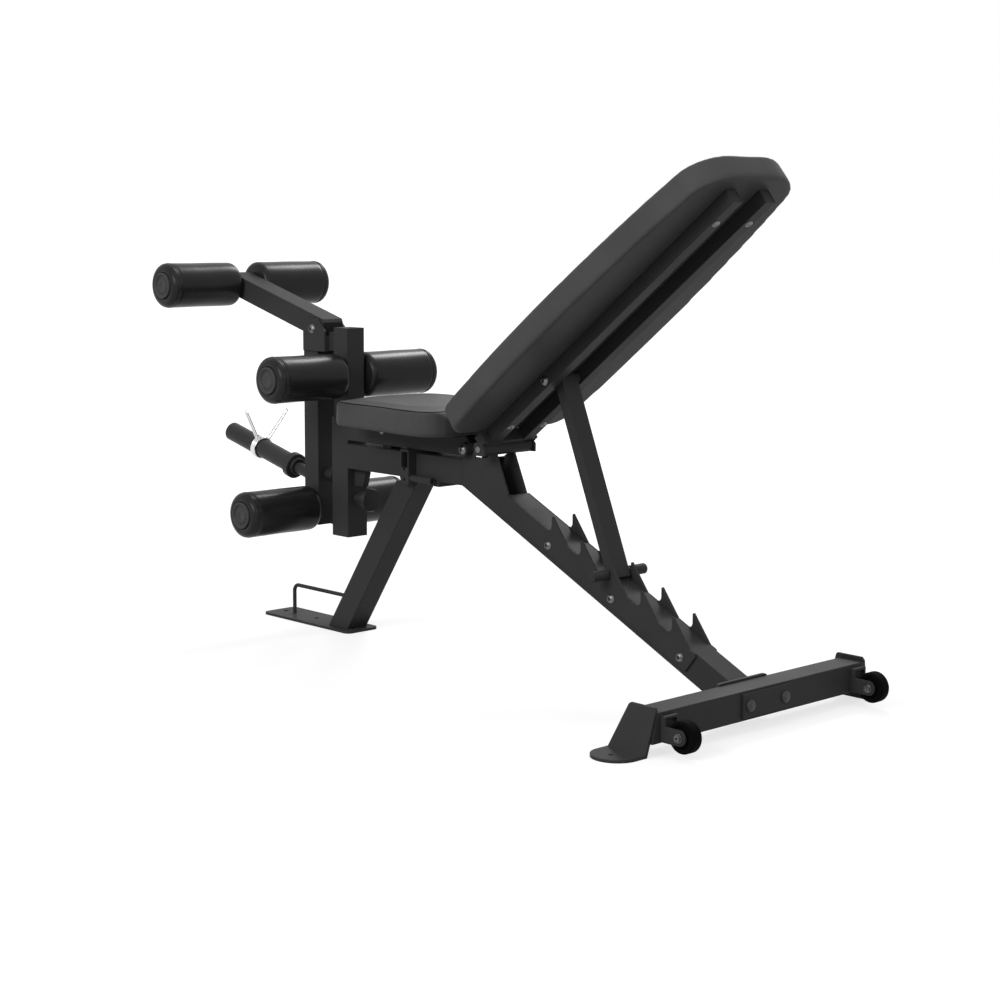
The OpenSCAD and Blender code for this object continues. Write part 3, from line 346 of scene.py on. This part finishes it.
by_slot = {m["finish_slot"]: m for m in (
    powder_coat, zinc_plate, pad_vinyl, foam_skin, moulded_plastic, tyre_rubber, sleeve_skin)}

# %% Give every CAD piece its finish
for part in frame["record"]["subparts"]:
    piece = nodes[part["node"]]
    piece.data.materials.clear()
    piece.data.materials.append(by_slot[part["material_slot"]])
nodes["spring_collar"].data.materials[0] = bright_wire
print("dressed", len(nodes), "CAD pieces")

# %% [markdown]
# ## Helpers for new pieces
# A new piece starts as a bmesh. `settle` turns it into an object that rides on a
# CAD body, with a finish, smooth faces and outward normals.

# %% Piece helpers
def outward(bm):
    bmesh.ops.remove_doubles(bm, verts=bm.verts, dist=1e-6)
    bmesh.ops.recalc_face_normals(bm, faces=bm.faces)
    return bm


def mirror(bm):
    """Turn a piece drawn on the user's left into the one on the right."""
    bmesh.ops.scale(bm, vec=(-1, 1, 1), verts=bm.verts)
    bmesh.ops.recalc_face_normals(bm, faces=bm.faces)


def extent(points):
    """The lowest and the highest corner of some points."""
    return (Vector(min(p[i] for p in points) for i in range(3)),
            Vector(max(p[i] for p in points) for i in range(3)))


def to_object(bm, name, smooth_angle=math.radians(40)):
    mesh = bpy.data.meshes.new(name)
    bm.to_mesh(mesh)
    bm.free()
    obj = bpy.data.objects.new(name, mesh)
    scene.collection.objects.link(obj)
    if smooth_angle:
        mesh.shade_smooth()
        mesh.set_sharp_from_angle(angle=smooth_angle)
    return obj


def settle(obj, body, material, replaces=()):
    obj.data.materials.clear()
    obj.data.materials.append(material)
    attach(obj, body)
    if replaces:
        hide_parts(*replaces)
    print(obj.name, "on", body, "-", len(obj.data.polygons), "faces")
    return obj


def evaluated(obj):
    """The mesh that an object's modifiers make, with the modifiers gone."""
    deps = bpy.context.evaluated_depsgraph_get()
    mesh = bpy.data.meshes.new_from_object(obj.evaluated_get(deps))
    obj.modifiers.clear()
    obj.data = mesh
    return mesh


# %% [markdown]
# ## The two pads
# A pad is a plywood board under a block of foam, pulled tight in vinyl and
# stapled behind. Its back stays flat on the rails, and the foam pushes the sides
# and the front outwards, fullest in the middle. A cloth simulation with a little
# air pressure does that on its own. The CAD block is copied, drawn in by half a
# millimetre and remeshed to an even grid. The grid is laid back on the block, its
# back rim is eased, and it is blown up with its back held still. The swelling is
# then spread over its neighbours, so that no wrinkle stays, and it is capped,
# because a firm pad swells by millimetres only.

# %% Soften a CAD block into a pad
def in_place(node_name, to_local=Matrix.Identity(4)):
    """A copy of a CAD node's mesh, in axes that suit the work."""
    bm = bmesh.new()
    bm.from_mesh(nodes[node_name].data)
    bmesh.ops.remove_doubles(bm, verts=bm.verts, dist=1e-5)
    bmesh.ops.transform(bm, matrix=to_local, verts=bm.verts)
    return bm


def positions(obj):
    flat = np.empty(len(obj.data.vertices) * 3)
    obj.data.vertices.foreach_get("co", flat)
    return flat.reshape(-1, 3)


def spread(obj, moves, rounds):
    """Average each point's move with its neighbours', so the cover stays taut."""
    edges = np.empty(len(obj.data.edges) * 2, dtype=int)
    obj.data.edges.foreach_get("vertices", edges)
    a, b = edges.reshape(-1, 2).T
    count = np.bincount(np.concatenate((a, b)), minlength=len(moves))[:, None]
    for _ in range(rounds):
        total = np.stack([np.bincount(a, moves[b, i], len(moves))
                          + np.bincount(b, moves[a, i], len(moves)) for i in range(3)], axis=1)
        moves = (moves + total) / (1 + count)
    return moves


GRID = 0.004          # the even grid's spacing
DRAW_IN = 0.0005      # how far the cover starts inside the CAD block, on each side
MOST_SWELL = 0.008    # how far the foam may push any point
RIM_HEIGHT = 0.009    # the lowest part of the sides, eased where it meets the back
HELD_HEIGHT = 0.006   # the part that the staples hold
BACK_GAP = 0.0003     # what the cover keeps clear of its board
LAST_FRAME = 20       # the cloth is at rest by then


def ease(bm, verts, rounds):
    """Smooth some points in place."""
    for _ in range(rounds):
        bmesh.ops.smooth_vert(bm, verts=verts, factor=0.5,
                              use_axis_x=True, use_axis_y=True, use_axis_z=True)


def inflate(obj, held_below):
    """Blow the piece up, with everything below a height held still."""
    held = obj.vertex_groups.new(name="stapled back")
    for v in obj.data.vertices:
        if v.co.z < held_below:
            held.add([v.index], 1.0, "REPLACE")
    cloth = obj.modifiers.new("filling", "CLOTH")
    s = cloth.settings
    s.quality = 6
    s.mass = 0.3
    s.tension_stiffness = s.compression_stiffness = 40
    s.shear_stiffness = 30
    s.bending_stiffness = 10
    s.use_pressure = True
    s.uniform_pressure_force = 4
    s.vertex_group_mass = held.name
    s.effector_weights.gravity = 0
    cloth.point_cache.frame_start = 1
    cloth.point_cache.frame_end = LAST_FRAME
    for f in range(1, LAST_FRAME + 1):
        scene.frame_set(f)
    evaluated(obj)
    scene.frame_set(1)


def soft_pad(node_name, name, to_local):
    bm = in_place(node_name, to_local)
    lo, hi = extent([v.co for v in bm.verts])
    middle, size = (lo + hi) / 2, hi - lo
    shrink = Vector(1 - 2 * DRAW_IN / size[i] for i in range(3))
    bmesh.ops.translate(bm, vec=-middle, verts=bm.verts)
    bmesh.ops.scale(bm, vec=shrink, verts=bm.verts)
    bmesh.ops.translate(bm, vec=middle, verts=bm.verts)
    block = BVHTree.FromBMesh(bm)
    obj = to_object(bm, name, 0)
    remesh = obj.modifiers.new("even grid", "REMESH")
    remesh.mode = "VOXEL"
    remesh.voxel_size = GRID
    evaluated(obj)
    bm = bmesh.new()
    bm.from_mesh(obj.data)
    for v in bm.verts:
        v.co = block.find_nearest(v.co)[0]
    rim = [v for v in bm.verts if v.co.z < lo.z + RIM_HEIGHT]
    ease(bm, bm.verts, 3)
    ease(bm, rim, 6)
    bm.to_mesh(obj.data)
    bm.free()
    rest = positions(obj)
    inflate(obj, lo.z + HELD_HEIGHT)
    swell = spread(obj, positions(obj) - rest, rounds=60)
    length = np.linalg.norm(swell, axis=1, keepdims=True)
    swell *= np.minimum(1, MOST_SWELL / np.maximum(length, 1e-9))
    placed = rest + swell
    placed[:, 2] = np.maximum(placed[:, 2], lo.z + BACK_GAP)
    obj.data.vertices.foreach_set("co", placed.ravel())
    subdivide = obj.modifiers.new("smooth", "SUBSURF")
    subdivide.levels = subdivide.render_levels = 1
    evaluated(obj)
    obj.data.transform(to_local.inverted())
    obj.data.shade_smooth()
    print(name, "swelled by up to", round(float(length.max()) * 1000, 1), "mm, kept to",
          MOST_SWELL * 1000)
    return obj


hinge = Vector(joints["backrest_hinge"]["pos_m"])
BACK_ANGLE = math.radians(37.8)     # the back pad's slope at rest
back_axes = Matrix.Translation(hinge) @ Matrix.Rotation(BACK_ANGLE, 4, "X")
back_cushion = soft_pad("back_pad", "back_cushion", back_axes.inverted())
settle(back_cushion, "backrest", pad_vinyl, ["back_pad"])
seat_cushion = soft_pad("seat_pad", "seat_cushion", Matrix.Identity(4))
settle(seat_cushion, "seat", pad_vinyl, ["seat_pad"])

# %% [markdown]
# ## Foam rollers
# Each roller is a foam tube pushed over a steel axle. A moulded skin wraps it,
# with a rounded shoulder and a raised bead where the two halves of the mould met.
# The profile is drawn once as a chain of points and spun about the axle.

# %% Spin a profile about the X axis
def spun(profile, center, steps=72):
    """profile: (x from the middle plane, radius) pairs, outwards along +X."""
    bm = bmesh.new()
    ring = [bm.verts.new((x, center.y, center.z + r)) for x, r in profile]
    for a, b in zip(ring, ring[1:]):
        bm.edges.new((a, b))
    bmesh.ops.spin(bm, geom=bm.verts[:] + bm.edges[:], cent=(0, center.y, center.z), axis=(1, 0, 0),
                   dvec=(0, 0, 0), angle=math.tau, steps=steps, use_merge=True, use_duplicate=False)
    return outward(bm)


def arc(cx, cr, radius, start, end, count):
    angles = [math.radians(start + (end - start) * i / count) for i in range(count + 1)]
    return [(cx + radius * math.cos(a), cr + radius * math.sin(a)) for a in angles]


foam_lo, foam_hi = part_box("roller_mid_l")
FOAM_R = (foam_hi.z - foam_lo.z) / 2
FOAM_IN, FOAM_OUT = foam_lo.x, foam_hi.x
cap_lo, cap_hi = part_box("cap_mid_l")
CAP_R = (cap_hi.z - cap_lo.z) / 2
SHOULDER = 0.013
print("roller radius", round(FOAM_R, 4), "from", round(FOAM_IN, 4), "to", round(FOAM_OUT, 4))

# %% [markdown]
# The closed loop runs up the inner end, along the skin, over the bead and the
# shoulder, and back down into the recess that holds the end cap. A slow wobble of
# a third of a millimetre keeps the highlights from being machine straight.

# %% Make the six rollers
BORE = 0.0128        # radius of the hole for the axle
BEAD = 0.0011        # how proud the bead stands before the skin softens it
RECESS = 0.0058      # depth of the seat of the end cap
SKIN_WAVE = 0.00035  # how far the slow wobble moves the skin
SKIN_FROM = 0.03     # only points farther than this from the axle wobble
FIRST_RING = 0.03    # where the skin's even rings start, from the inner end
LAST_RING = 0.012    # and where they end, before the shoulder


def foam_profile():
    inner = [(FOAM_IN, BORE), (FOAM_IN, FOAM_R - SHOULDER - 0.004)]
    inner += arc(FOAM_IN + SHOULDER, FOAM_R - SHOULDER, SHOULDER, 180, 90, 8)
    x = FOAM_OUT - SHOULDER
    first, last = FOAM_IN + FIRST_RING, x - LAST_RING
    skin = [(first + i * (last - first) / 10, FOAM_R) for i in range(11)]
    bead = [(x - 0.0062, FOAM_R), (x - 0.0046, FOAM_R - 0.0006),
            (x - 0.0038, FOAM_R + BEAD * 0.2), (x - 0.0022, FOAM_R + BEAD * 0.55),
            (x - 0.0008, FOAM_R), (x, FOAM_R - 0.0005)]
    outer = arc(x, FOAM_R - SHOULDER, SHOULDER, 86, 0, 9)
    lip = [(FOAM_OUT, CAP_R + 0.004), (FOAM_OUT - 0.0012, CAP_R + 0.0012),
           (FOAM_OUT - RECESS, CAP_R + 0.0004), (FOAM_OUT - RECESS, BORE)]
    return inner + skin + bead + outer + lip + inner[:1]


def foam_roller(name, node_name, body, side):
    lo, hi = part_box(node_name)
    center = (lo + hi) / 2
    bm = spun(foam_profile(), center)
    for v in bm.verts:
        d = v.co - center
        wobble = math.sin(v.co.x * 41 + d.z * 60) * math.sin(v.co.x * 23 + d.y * 75 + side)
        radial = Vector((0, d.y, d.z))
        if radial.length > SKIN_FROM:
            v.co += radial.normalized() * SKIN_WAVE * wobble
    if side < 0:
        mirror(bm)
    obj = to_object(bm, name, math.radians(50))
    return settle(obj, body, foam_skin, [node_name])


def end_cap(name, node_name, body, side):
    lo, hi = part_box(node_name)
    center = (lo + hi) / 2
    x0, x1 = sorted((abs(lo.x), abs(hi.x)))
    r = CAP_R
    edge = [(x0, 0.0), (x0, r - 0.0006), (x0 + 0.0006, r), (x1 - 0.0012, r),
            (x1 - 0.0003, r - 0.0009), (x1, r - 0.0022), (x1 - 0.0008, r - 0.0044)]
    groove = [(x1 - 0.0036, r - 0.0056), (x1 - 0.0048, r - 0.0072), (x1 - 0.0046, r - 0.0092),
              (x1 - 0.0030, r - 0.0108), (x1 - 0.0024, r - 0.0130)]
    dimple = [(x1 - 0.0022, r * 0.28), (x1 - 0.0030, r * 0.22), (x1 - 0.0032, 0.0)]
    profile = edge + groove + dimple
    bm = spun(profile, Vector((0, center.y, center.z)), 64)
    if side < 0:
        mirror(bm)
    obj = to_object(bm, name, math.radians(50))
    return settle(obj, body, cap_plastic, [node_name])


for place in ("top", "mid", "low"):
    for letter, word, side in (("l", "left", 1), ("r", "right", -1)):
        body = f"roller_{place}_{word}"
        foam_roller(f"foam_{place}_{word}", f"roller_{place}_{letter}", body, side)
        end_cap(f"end_cap_{place}_{word}", f"cap_{place}_{letter}", body, side)

# %% [markdown]
# ## Small hardware
# The button-head screws have a hexagonal socket in a slightly raised rim. Cutting
# it into every CAD bolt would cost more than it shows, so a spun rim and a dark
# six-sided plug are set on the crown of each head. The plug's near-black colour is
# painted shade, standing in for the shade inside the socket's recess. The crowns
# are found by walking over the separate lumps of the bolt's mesh.

# %% Find the separate lumps of a node
def lumps(node_name):
    """The extent of each loose lump of a node's mesh, such as one bolt of a set."""
    bm = in_place(node_name)
    seen, found = set(), []
    for first in bm.verts:
        if first in seen:
            continue
        stack, lump = [first], []
        seen.add(first)
        while stack:
            v = stack.pop()
            lump.append(v.co.copy())
            for e in v.link_edges:
                other = e.other_vert(v)
                if other not in seen:
                    seen.add(other)
                    stack.append(other)
        found.append(extent(lump))
    bm.free()
    return found


def join(parts):
    """One bmesh of several, which are freed."""
    whole = bmesh.new()
    for part in parts:
        mesh = bpy.data.meshes.new("part")
        part.to_mesh(mesh)
        part.free()
        whole.from_mesh(mesh)
        bpy.data.meshes.remove(mesh)
    return whole


# %% Rims and painted socket shade on the crowns that face sideways
def crown_screws(name, body, node_name, size):
    """Dress both heads of a node's bolts. size is the rim's radius."""
    rims, plugs = [], []
    for lo, hi in lumps(node_name):
        center = (lo + hi) / 2
        for side in (1, -1):
            crown = abs(hi.x) if side > 0 else abs(lo.x)
            foot = crown - 0.0012
            rim = spun([(foot, size * 1.12), (crown + 0.0002, size), (crown + 0.0003, size * 0.86),
                        (crown - 0.0003, size * 0.76), (foot, size * 0.76), (foot, size * 1.12)],
                       center, 24)
            # The plug is painted shade: a flat dark hexagon where the socket's recess lies in shade.
            plug = bmesh.new()
            turned = (Matrix.Translation((crown - 0.0004, center.y, center.z))
                      @ Matrix.Rotation(math.pi / 2, 4, "Y"))
            bmesh.ops.create_cone(plug, cap_ends=True, segments=6, radius1=size * 0.8,
                                  radius2=size * 0.8, depth=0.001, matrix=turned)
            for bm in (rim, plug):
                if side < 0:
                    mirror(bm)
            rims.append(rim)
            plugs.append(plug)
    settle(to_object(join(rims), name + "_rims"), body, zinc_plate)
    settle(to_object(join(plugs), name + "_sockets"), body, socket_shade)


crown_screws("ladder_screw", "frame", "ladder_bolts", 0.0040)
crown_screws("lever_screw", "post", "lever_pivot", 0.0046)
crown_screws("strut_screw", "backrest", "strut_bolt", 0.0042)
crown_screws("seat_screw", "seat", "seat_pivot", 0.0044)

# %% Caps on the two bolts of the rear base
bolts_lo, bolts_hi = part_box("base_bolts")
BOLT_X = 0.046       # each bolt's distance from the middle plane
discs = []
for x in (-BOLT_X, BOLT_X):
    disc = spun([(-0.0046, 0.0), (-0.0046, 0.0100), (-0.0016, 0.0100), (-0.0004, 0.0090),
                 (0.0004, 0.0065), (0.0006, 0.0)], Vector(), 32)
    bmesh.ops.transform(disc, verts=disc.verts,
                        matrix=Matrix.Translation((x, bolts_hi.y, (bolts_lo.z + bolts_hi.z) / 2))
                        @ Matrix.Rotation(math.pi / 2, 4, "Z"))
    discs.append(disc)
settle(to_object(join(discs), "base_bolt_caps"), "frame", worn_paint)

# %% [markdown]
# The spring collar is pinched open by two loops of wire. The CAD has the leg of
# each loop that springs from the coil. A second leg, and the bend over the top,
# are one wire each: a curve with a round section, made a mesh once it is drawn.
# The sleeve's own line comes from the joint that the collar slides along.

# %% Wires along a path
def wire(name, points, radius, cyclic=False):
    data = bpy.data.curves.new(name, "CURVE")
    data.dimensions = "3D"
    data.bevel_depth = radius
    data.bevel_resolution = 3
    data.use_fill_caps = True
    spline = data.splines.new("POLY")
    spline.points.add(len(points) - 1)
    for p, co in zip(spline.points, points):
        p.co = (*co, 1)
    spline.use_cyclic_u = cyclic
    drawn = bpy.data.objects.new(name + "_path", data)
    scene.collection.objects.link(drawn)
    deps = bpy.context.evaluated_depsgraph_get()
    mesh = bpy.data.meshes.new_from_object(drawn.evaluated_get(deps))
    bpy.data.objects.remove(drawn)
    bm = bmesh.new()
    bm.from_mesh(mesh)
    return to_object(outward(bm), name)


slide = joints["collar_slide"]
along = Vector(slide["axis"]).normalized()
coil = [v.co.copy() for v in nodes["spring_collar"].data.vertices]
LOOP = 0.0075          # distance between the two legs of a loop
LEAN = math.radians(32)
WIRE_R = 0.0023
ARM_FROM = 0.0135      # coil points farther from the middle plane belong to a leg
RIGHT = Vector((1, 0, 0))
up = along.cross(RIGHT).normalized()
up = up if up.z > 0 else -up
for side, word in ((1, "left"), (-1, "right")):
    arm = [c for c in coil if c.x * side > ARM_FROM]
    reach = max(c.x * side for c in arm)
    tip_points = [c for c in arm if c.x * side > reach - 0.0045]
    tip = sum(tip_points, Vector()) / len(tip_points)
    leg = (RIGHT * side * math.sin(LEAN) + up * math.cos(LEAN)).normalized()
    over = along * (-side) * LOOP
    bend = [tip + over / 2 - (over / 2) * math.cos(a) + leg * (LOOP / 2) * math.sin(a)
            for a in (math.pi * i / 10 for i in range(11))]
    path = [tip - leg * 0.004] + bend + [tip + over - leg * d for d in (0.02, 0.04, 0.058, 0.066)]
    settle(wire(f"collar_loop_{word}", path, WIRE_R), "collar", bright_wire)
print("collar loops along", [round(v, 3) for v in along])

# %% [markdown]
# Where the stub enters the flange there is a turned hub, and a small screw holds
# the flange from above. Their places are measured on the sleeve's own mesh: how
# far each point is along its line, and how far out from it.

# %% Hub and screw of the sleeve
base = sum(coil, Vector()) / len(coil)
line_way = np.array(along)
rel = positions(nodes["sleeve"]) - np.array(base)
run = rel @ line_way
out = np.linalg.norm(rel - run[:, None] * line_way, axis=1)
flange_back = run[out > out.max() - 0.002].min()
flange_front = run[out > out.max() - 0.0005].max()
stub = float(out[run < flange_back - 0.02].max())
barrel = float(np.median(out[run > flange_front + 0.03]))
print("sleeve: stub", round(stub, 4), "barrel", round(barrel, 4),
      "flange", round(float(out.max()), 4))


def aligned(place, way):
    """Where a piece spun about +X goes, when its axis must point another way."""
    return Matrix.Translation(place) @ RIGHT.rotation_difference(way).to_matrix().to_4x4()


root, tip_x = flange_back + 0.001, flange_back - 0.007
hub = spun([(root, stub - 0.001), (tip_x, stub - 0.001), (tip_x, stub + 0.0035),
            (tip_x + 0.001, stub + 0.0045), (root, stub + 0.0045), (root, stub - 0.001)],
           Vector(), 48)
bmesh.ops.transform(hub, matrix=aligned(base, along), verts=hub.verts)
settle(to_object(hub, "sleeve_hub"), "lever", sleeve_skin)
screw = spun([(-0.004, 0.0), (-0.004, 0.0034), (0.0006, 0.0034), (0.0012, 0.0028),
              (0.0012, 0.0016), (0.0004, 0.0015), (0.0004, 0.0)], Vector(), 20)
screw_place = base + along * (flange_front + 0.007) + up * barrel
bmesh.ops.transform(screw, matrix=aligned(screw_place, up), verts=screw.verts)
settle(to_object(screw, "sleeve_screw"), "lever", bright_wire)

# %% [markdown]
# The seat's top panel is sewn to its side band, and the seam stands a little
# proud all the way round. Its near-black colour is painted shade, the dark of the
# crease along the seam. Cutting the finished cushion with a plane gives the
# exact line to lay it on.

# %% Seam round the seat
def seam(piece, name, depth, radius, spacing=0.003):
    """A thread round the piece, at a depth below its top."""
    bm = bmesh.new()
    bm.from_mesh(piece.data)
    lo, hi = extent([v.co for v in bm.verts])
    bmesh.ops.bisect_plane(bm, geom=bm.verts[:] + bm.edges[:] + bm.faces[:],
                           plane_co=(0, 0, hi.z - depth), plane_no=(0, 0, 1),
                           clear_inner=True, clear_outer=True)
    start = max(bm.verts, key=lambda v: v.co.y)
    line, last, here = [start.co.copy()], None, start
    while True:
        ways = (e.other_vert(here) for e in here.link_edges)
        onward = next((v for v in ways if v is not last), None)
        if onward is None or onward is start:
            break
        last, here = here, onward
        if (here.co - line[-1]).length > spacing:
            line.append(here.co.copy())
    bm.free()
    for _ in range(3):
        after = line[1:] + line[:1]
        line = [(line[i - 1] + line[i] * 2 + after[i]) / 4 for i in range(len(line))]
    print(name, "has", len(line), "points,", round((hi.x - lo.x) * 1000), "mm wide")
    return wire(name, line, radius, cyclic=True)


seat_seam = seam(seat_cushion, "seat_seam", 0.0075, 0.0013)
# The seam's dark finish is painted shade of the crease, laid on a raised bead.
settle(seat_seam, "seat", seam_shade)

# %% [markdown]
# ## Floor, backdrop and light
# The floor is pale and matt. To the camera it is mostly plain white, with enough
# of its lit colour left in to keep the soft shadow under the bench. The world is
# white where the camera, a reflection or a transparency looks at it, and a softer
# grey where it only lights the object. Large lamps above and beside the bench
# give the tubes their long highlights.

# %% What the camera, a reflection or a transparency sees
def seen_directly(tree):
    """A socket that is 1 where a surface is looked at, and 0 where it only lights."""
    path = node(tree, "ShaderNodeLightPath")
    either = node(tree, "ShaderNodeMath", operation="MAXIMUM")
    any_of = node(tree, "ShaderNodeMath", operation="MAXIMUM")
    tree.links.new(path.outputs["Is Camera Ray"], either.inputs[0])
    tree.links.new(path.outputs["Is Glossy Ray"], either.inputs[1])
    tree.links.new(either.outputs[0], any_of.inputs[0])
    tree.links.new(path.outputs["Is Transmission Ray"], any_of.inputs[1])
    return any_of.outputs[0]


# %% Floor
bm = bmesh.new()
bmesh.ops.create_grid(bm, x_segments=2, y_segments=2, size=30)
floor = to_object(bm, "floor", 0)
floor_paint = bpy.data.materials.new("floor paint")
floor_paint.use_nodes = True
tree = floor_paint.node_tree
tree.nodes.clear()
link = tree.links.new
output = node(tree, "ShaderNodeOutputMaterial")
lit = node(tree, "ShaderNodeBsdfDiffuse")
lit.inputs["Color"].default_value = (0.36, 0.36, 0.36, 1)
plain = node(tree, "ShaderNodeBsdfDiffuse")
plain.inputs["Color"].default_value = (0.27, 0.27, 0.27, 1)
glow = node(tree, "ShaderNodeEmission")
shown = node(tree, "ShaderNodeAddShader")
pick = node(tree, "ShaderNodeMixShader")
coords = node(tree, "ShaderNodeTexCoord")
distance = node(tree, "ShaderNodeVectorMath", operation="LENGTH")
far = node(tree, "ShaderNodeMapRange", interpolation_type="SMOOTHSTEP")
for label, value in (("From Min", 1.2), ("From Max", 3.5), ("To Min", 0.72), ("To Max", 1.0)):
    far.inputs[label].default_value = value
link(coords.outputs["Object"], distance.inputs[0])
link(distance.outputs["Value"], far.inputs["Value"])
link(far.outputs["Result"], glow.inputs["Strength"])
link(lit.outputs[0], shown.inputs[0])
link(glow.outputs[0], shown.inputs[1])
link(seen_directly(tree), pick.inputs["Fac"])
link(plain.outputs[0], pick.inputs[1])
link(shown.outputs[0], pick.inputs[2])
link(pick.outputs[0], output.inputs["Surface"])
floor.data.materials.append(floor_paint)
floor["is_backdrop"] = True
print("floor of plain pale paint")

# %% World
world = bpy.data.worlds.new("studio")
scene.world = world
world.use_nodes = True
tree = world.node_tree
background = tree.nodes["Background"]
background.inputs["Color"].default_value = (1, 1, 1, 1)
level = node(tree, "ShaderNodeMapRange")
level.inputs["To Min"].default_value = 0.44
level.inputs["To Max"].default_value = 1.0
tree.links.new(seen_directly(tree), level.inputs["Value"])
tree.links.new(level.outputs["Result"], background.inputs["Strength"])
print("world", world.name)


# %% Lamps
def lamp(name, place, aim, size, watts):
    data = bpy.data.lights.new(name, "AREA")
    data.shape = "RECTANGLE"
    data.size, data.size_y = size
    data.energy = watts
    obj = bpy.data.objects.new(name, data)
    scene.collection.objects.link(obj)
    turn = (Vector(aim) - Vector(place)).to_track_quat("-Z", "Y")
    obj.matrix_world = Matrix.Translation(place) @ turn.to_matrix().to_4x4()
    print("lamp", name, watts, "W")


lamp("overhead", (0.4, 0.3, 2.9), (0, 0, 0.4), (1.0, 2.4), 8)
lamp("strip", (-2.1, -1.1, 2.7), (0, -0.5, 0.5), (0.8, 1.2), 50)
lamp("side", (3.4, 0.4, 2.0), (0, 0, 0.45), (1.8, 1.1), 66)
lamp("behind", (0.6, 3.4, 2.0), (0, 0.2, 0.4), (1.8, 1.1), 17)

# %% [markdown]
# The dressed bench's box is set against the CAD model's box, and how far each of
# its faces has moved is printed in millimetres. The dressed bench must stay inside
# the CAD model's box, apart from what soft pieces may stand proud.

# %% Sizes, and the end
scene.view_settings.view_transform = "Standard"
lo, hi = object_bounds()
grown = [round((a - b) * 1000, 1) for a, b in zip((*lo, *hi), (*cad_lo, *cad_hi))]
print("grown by", grown, "mm")
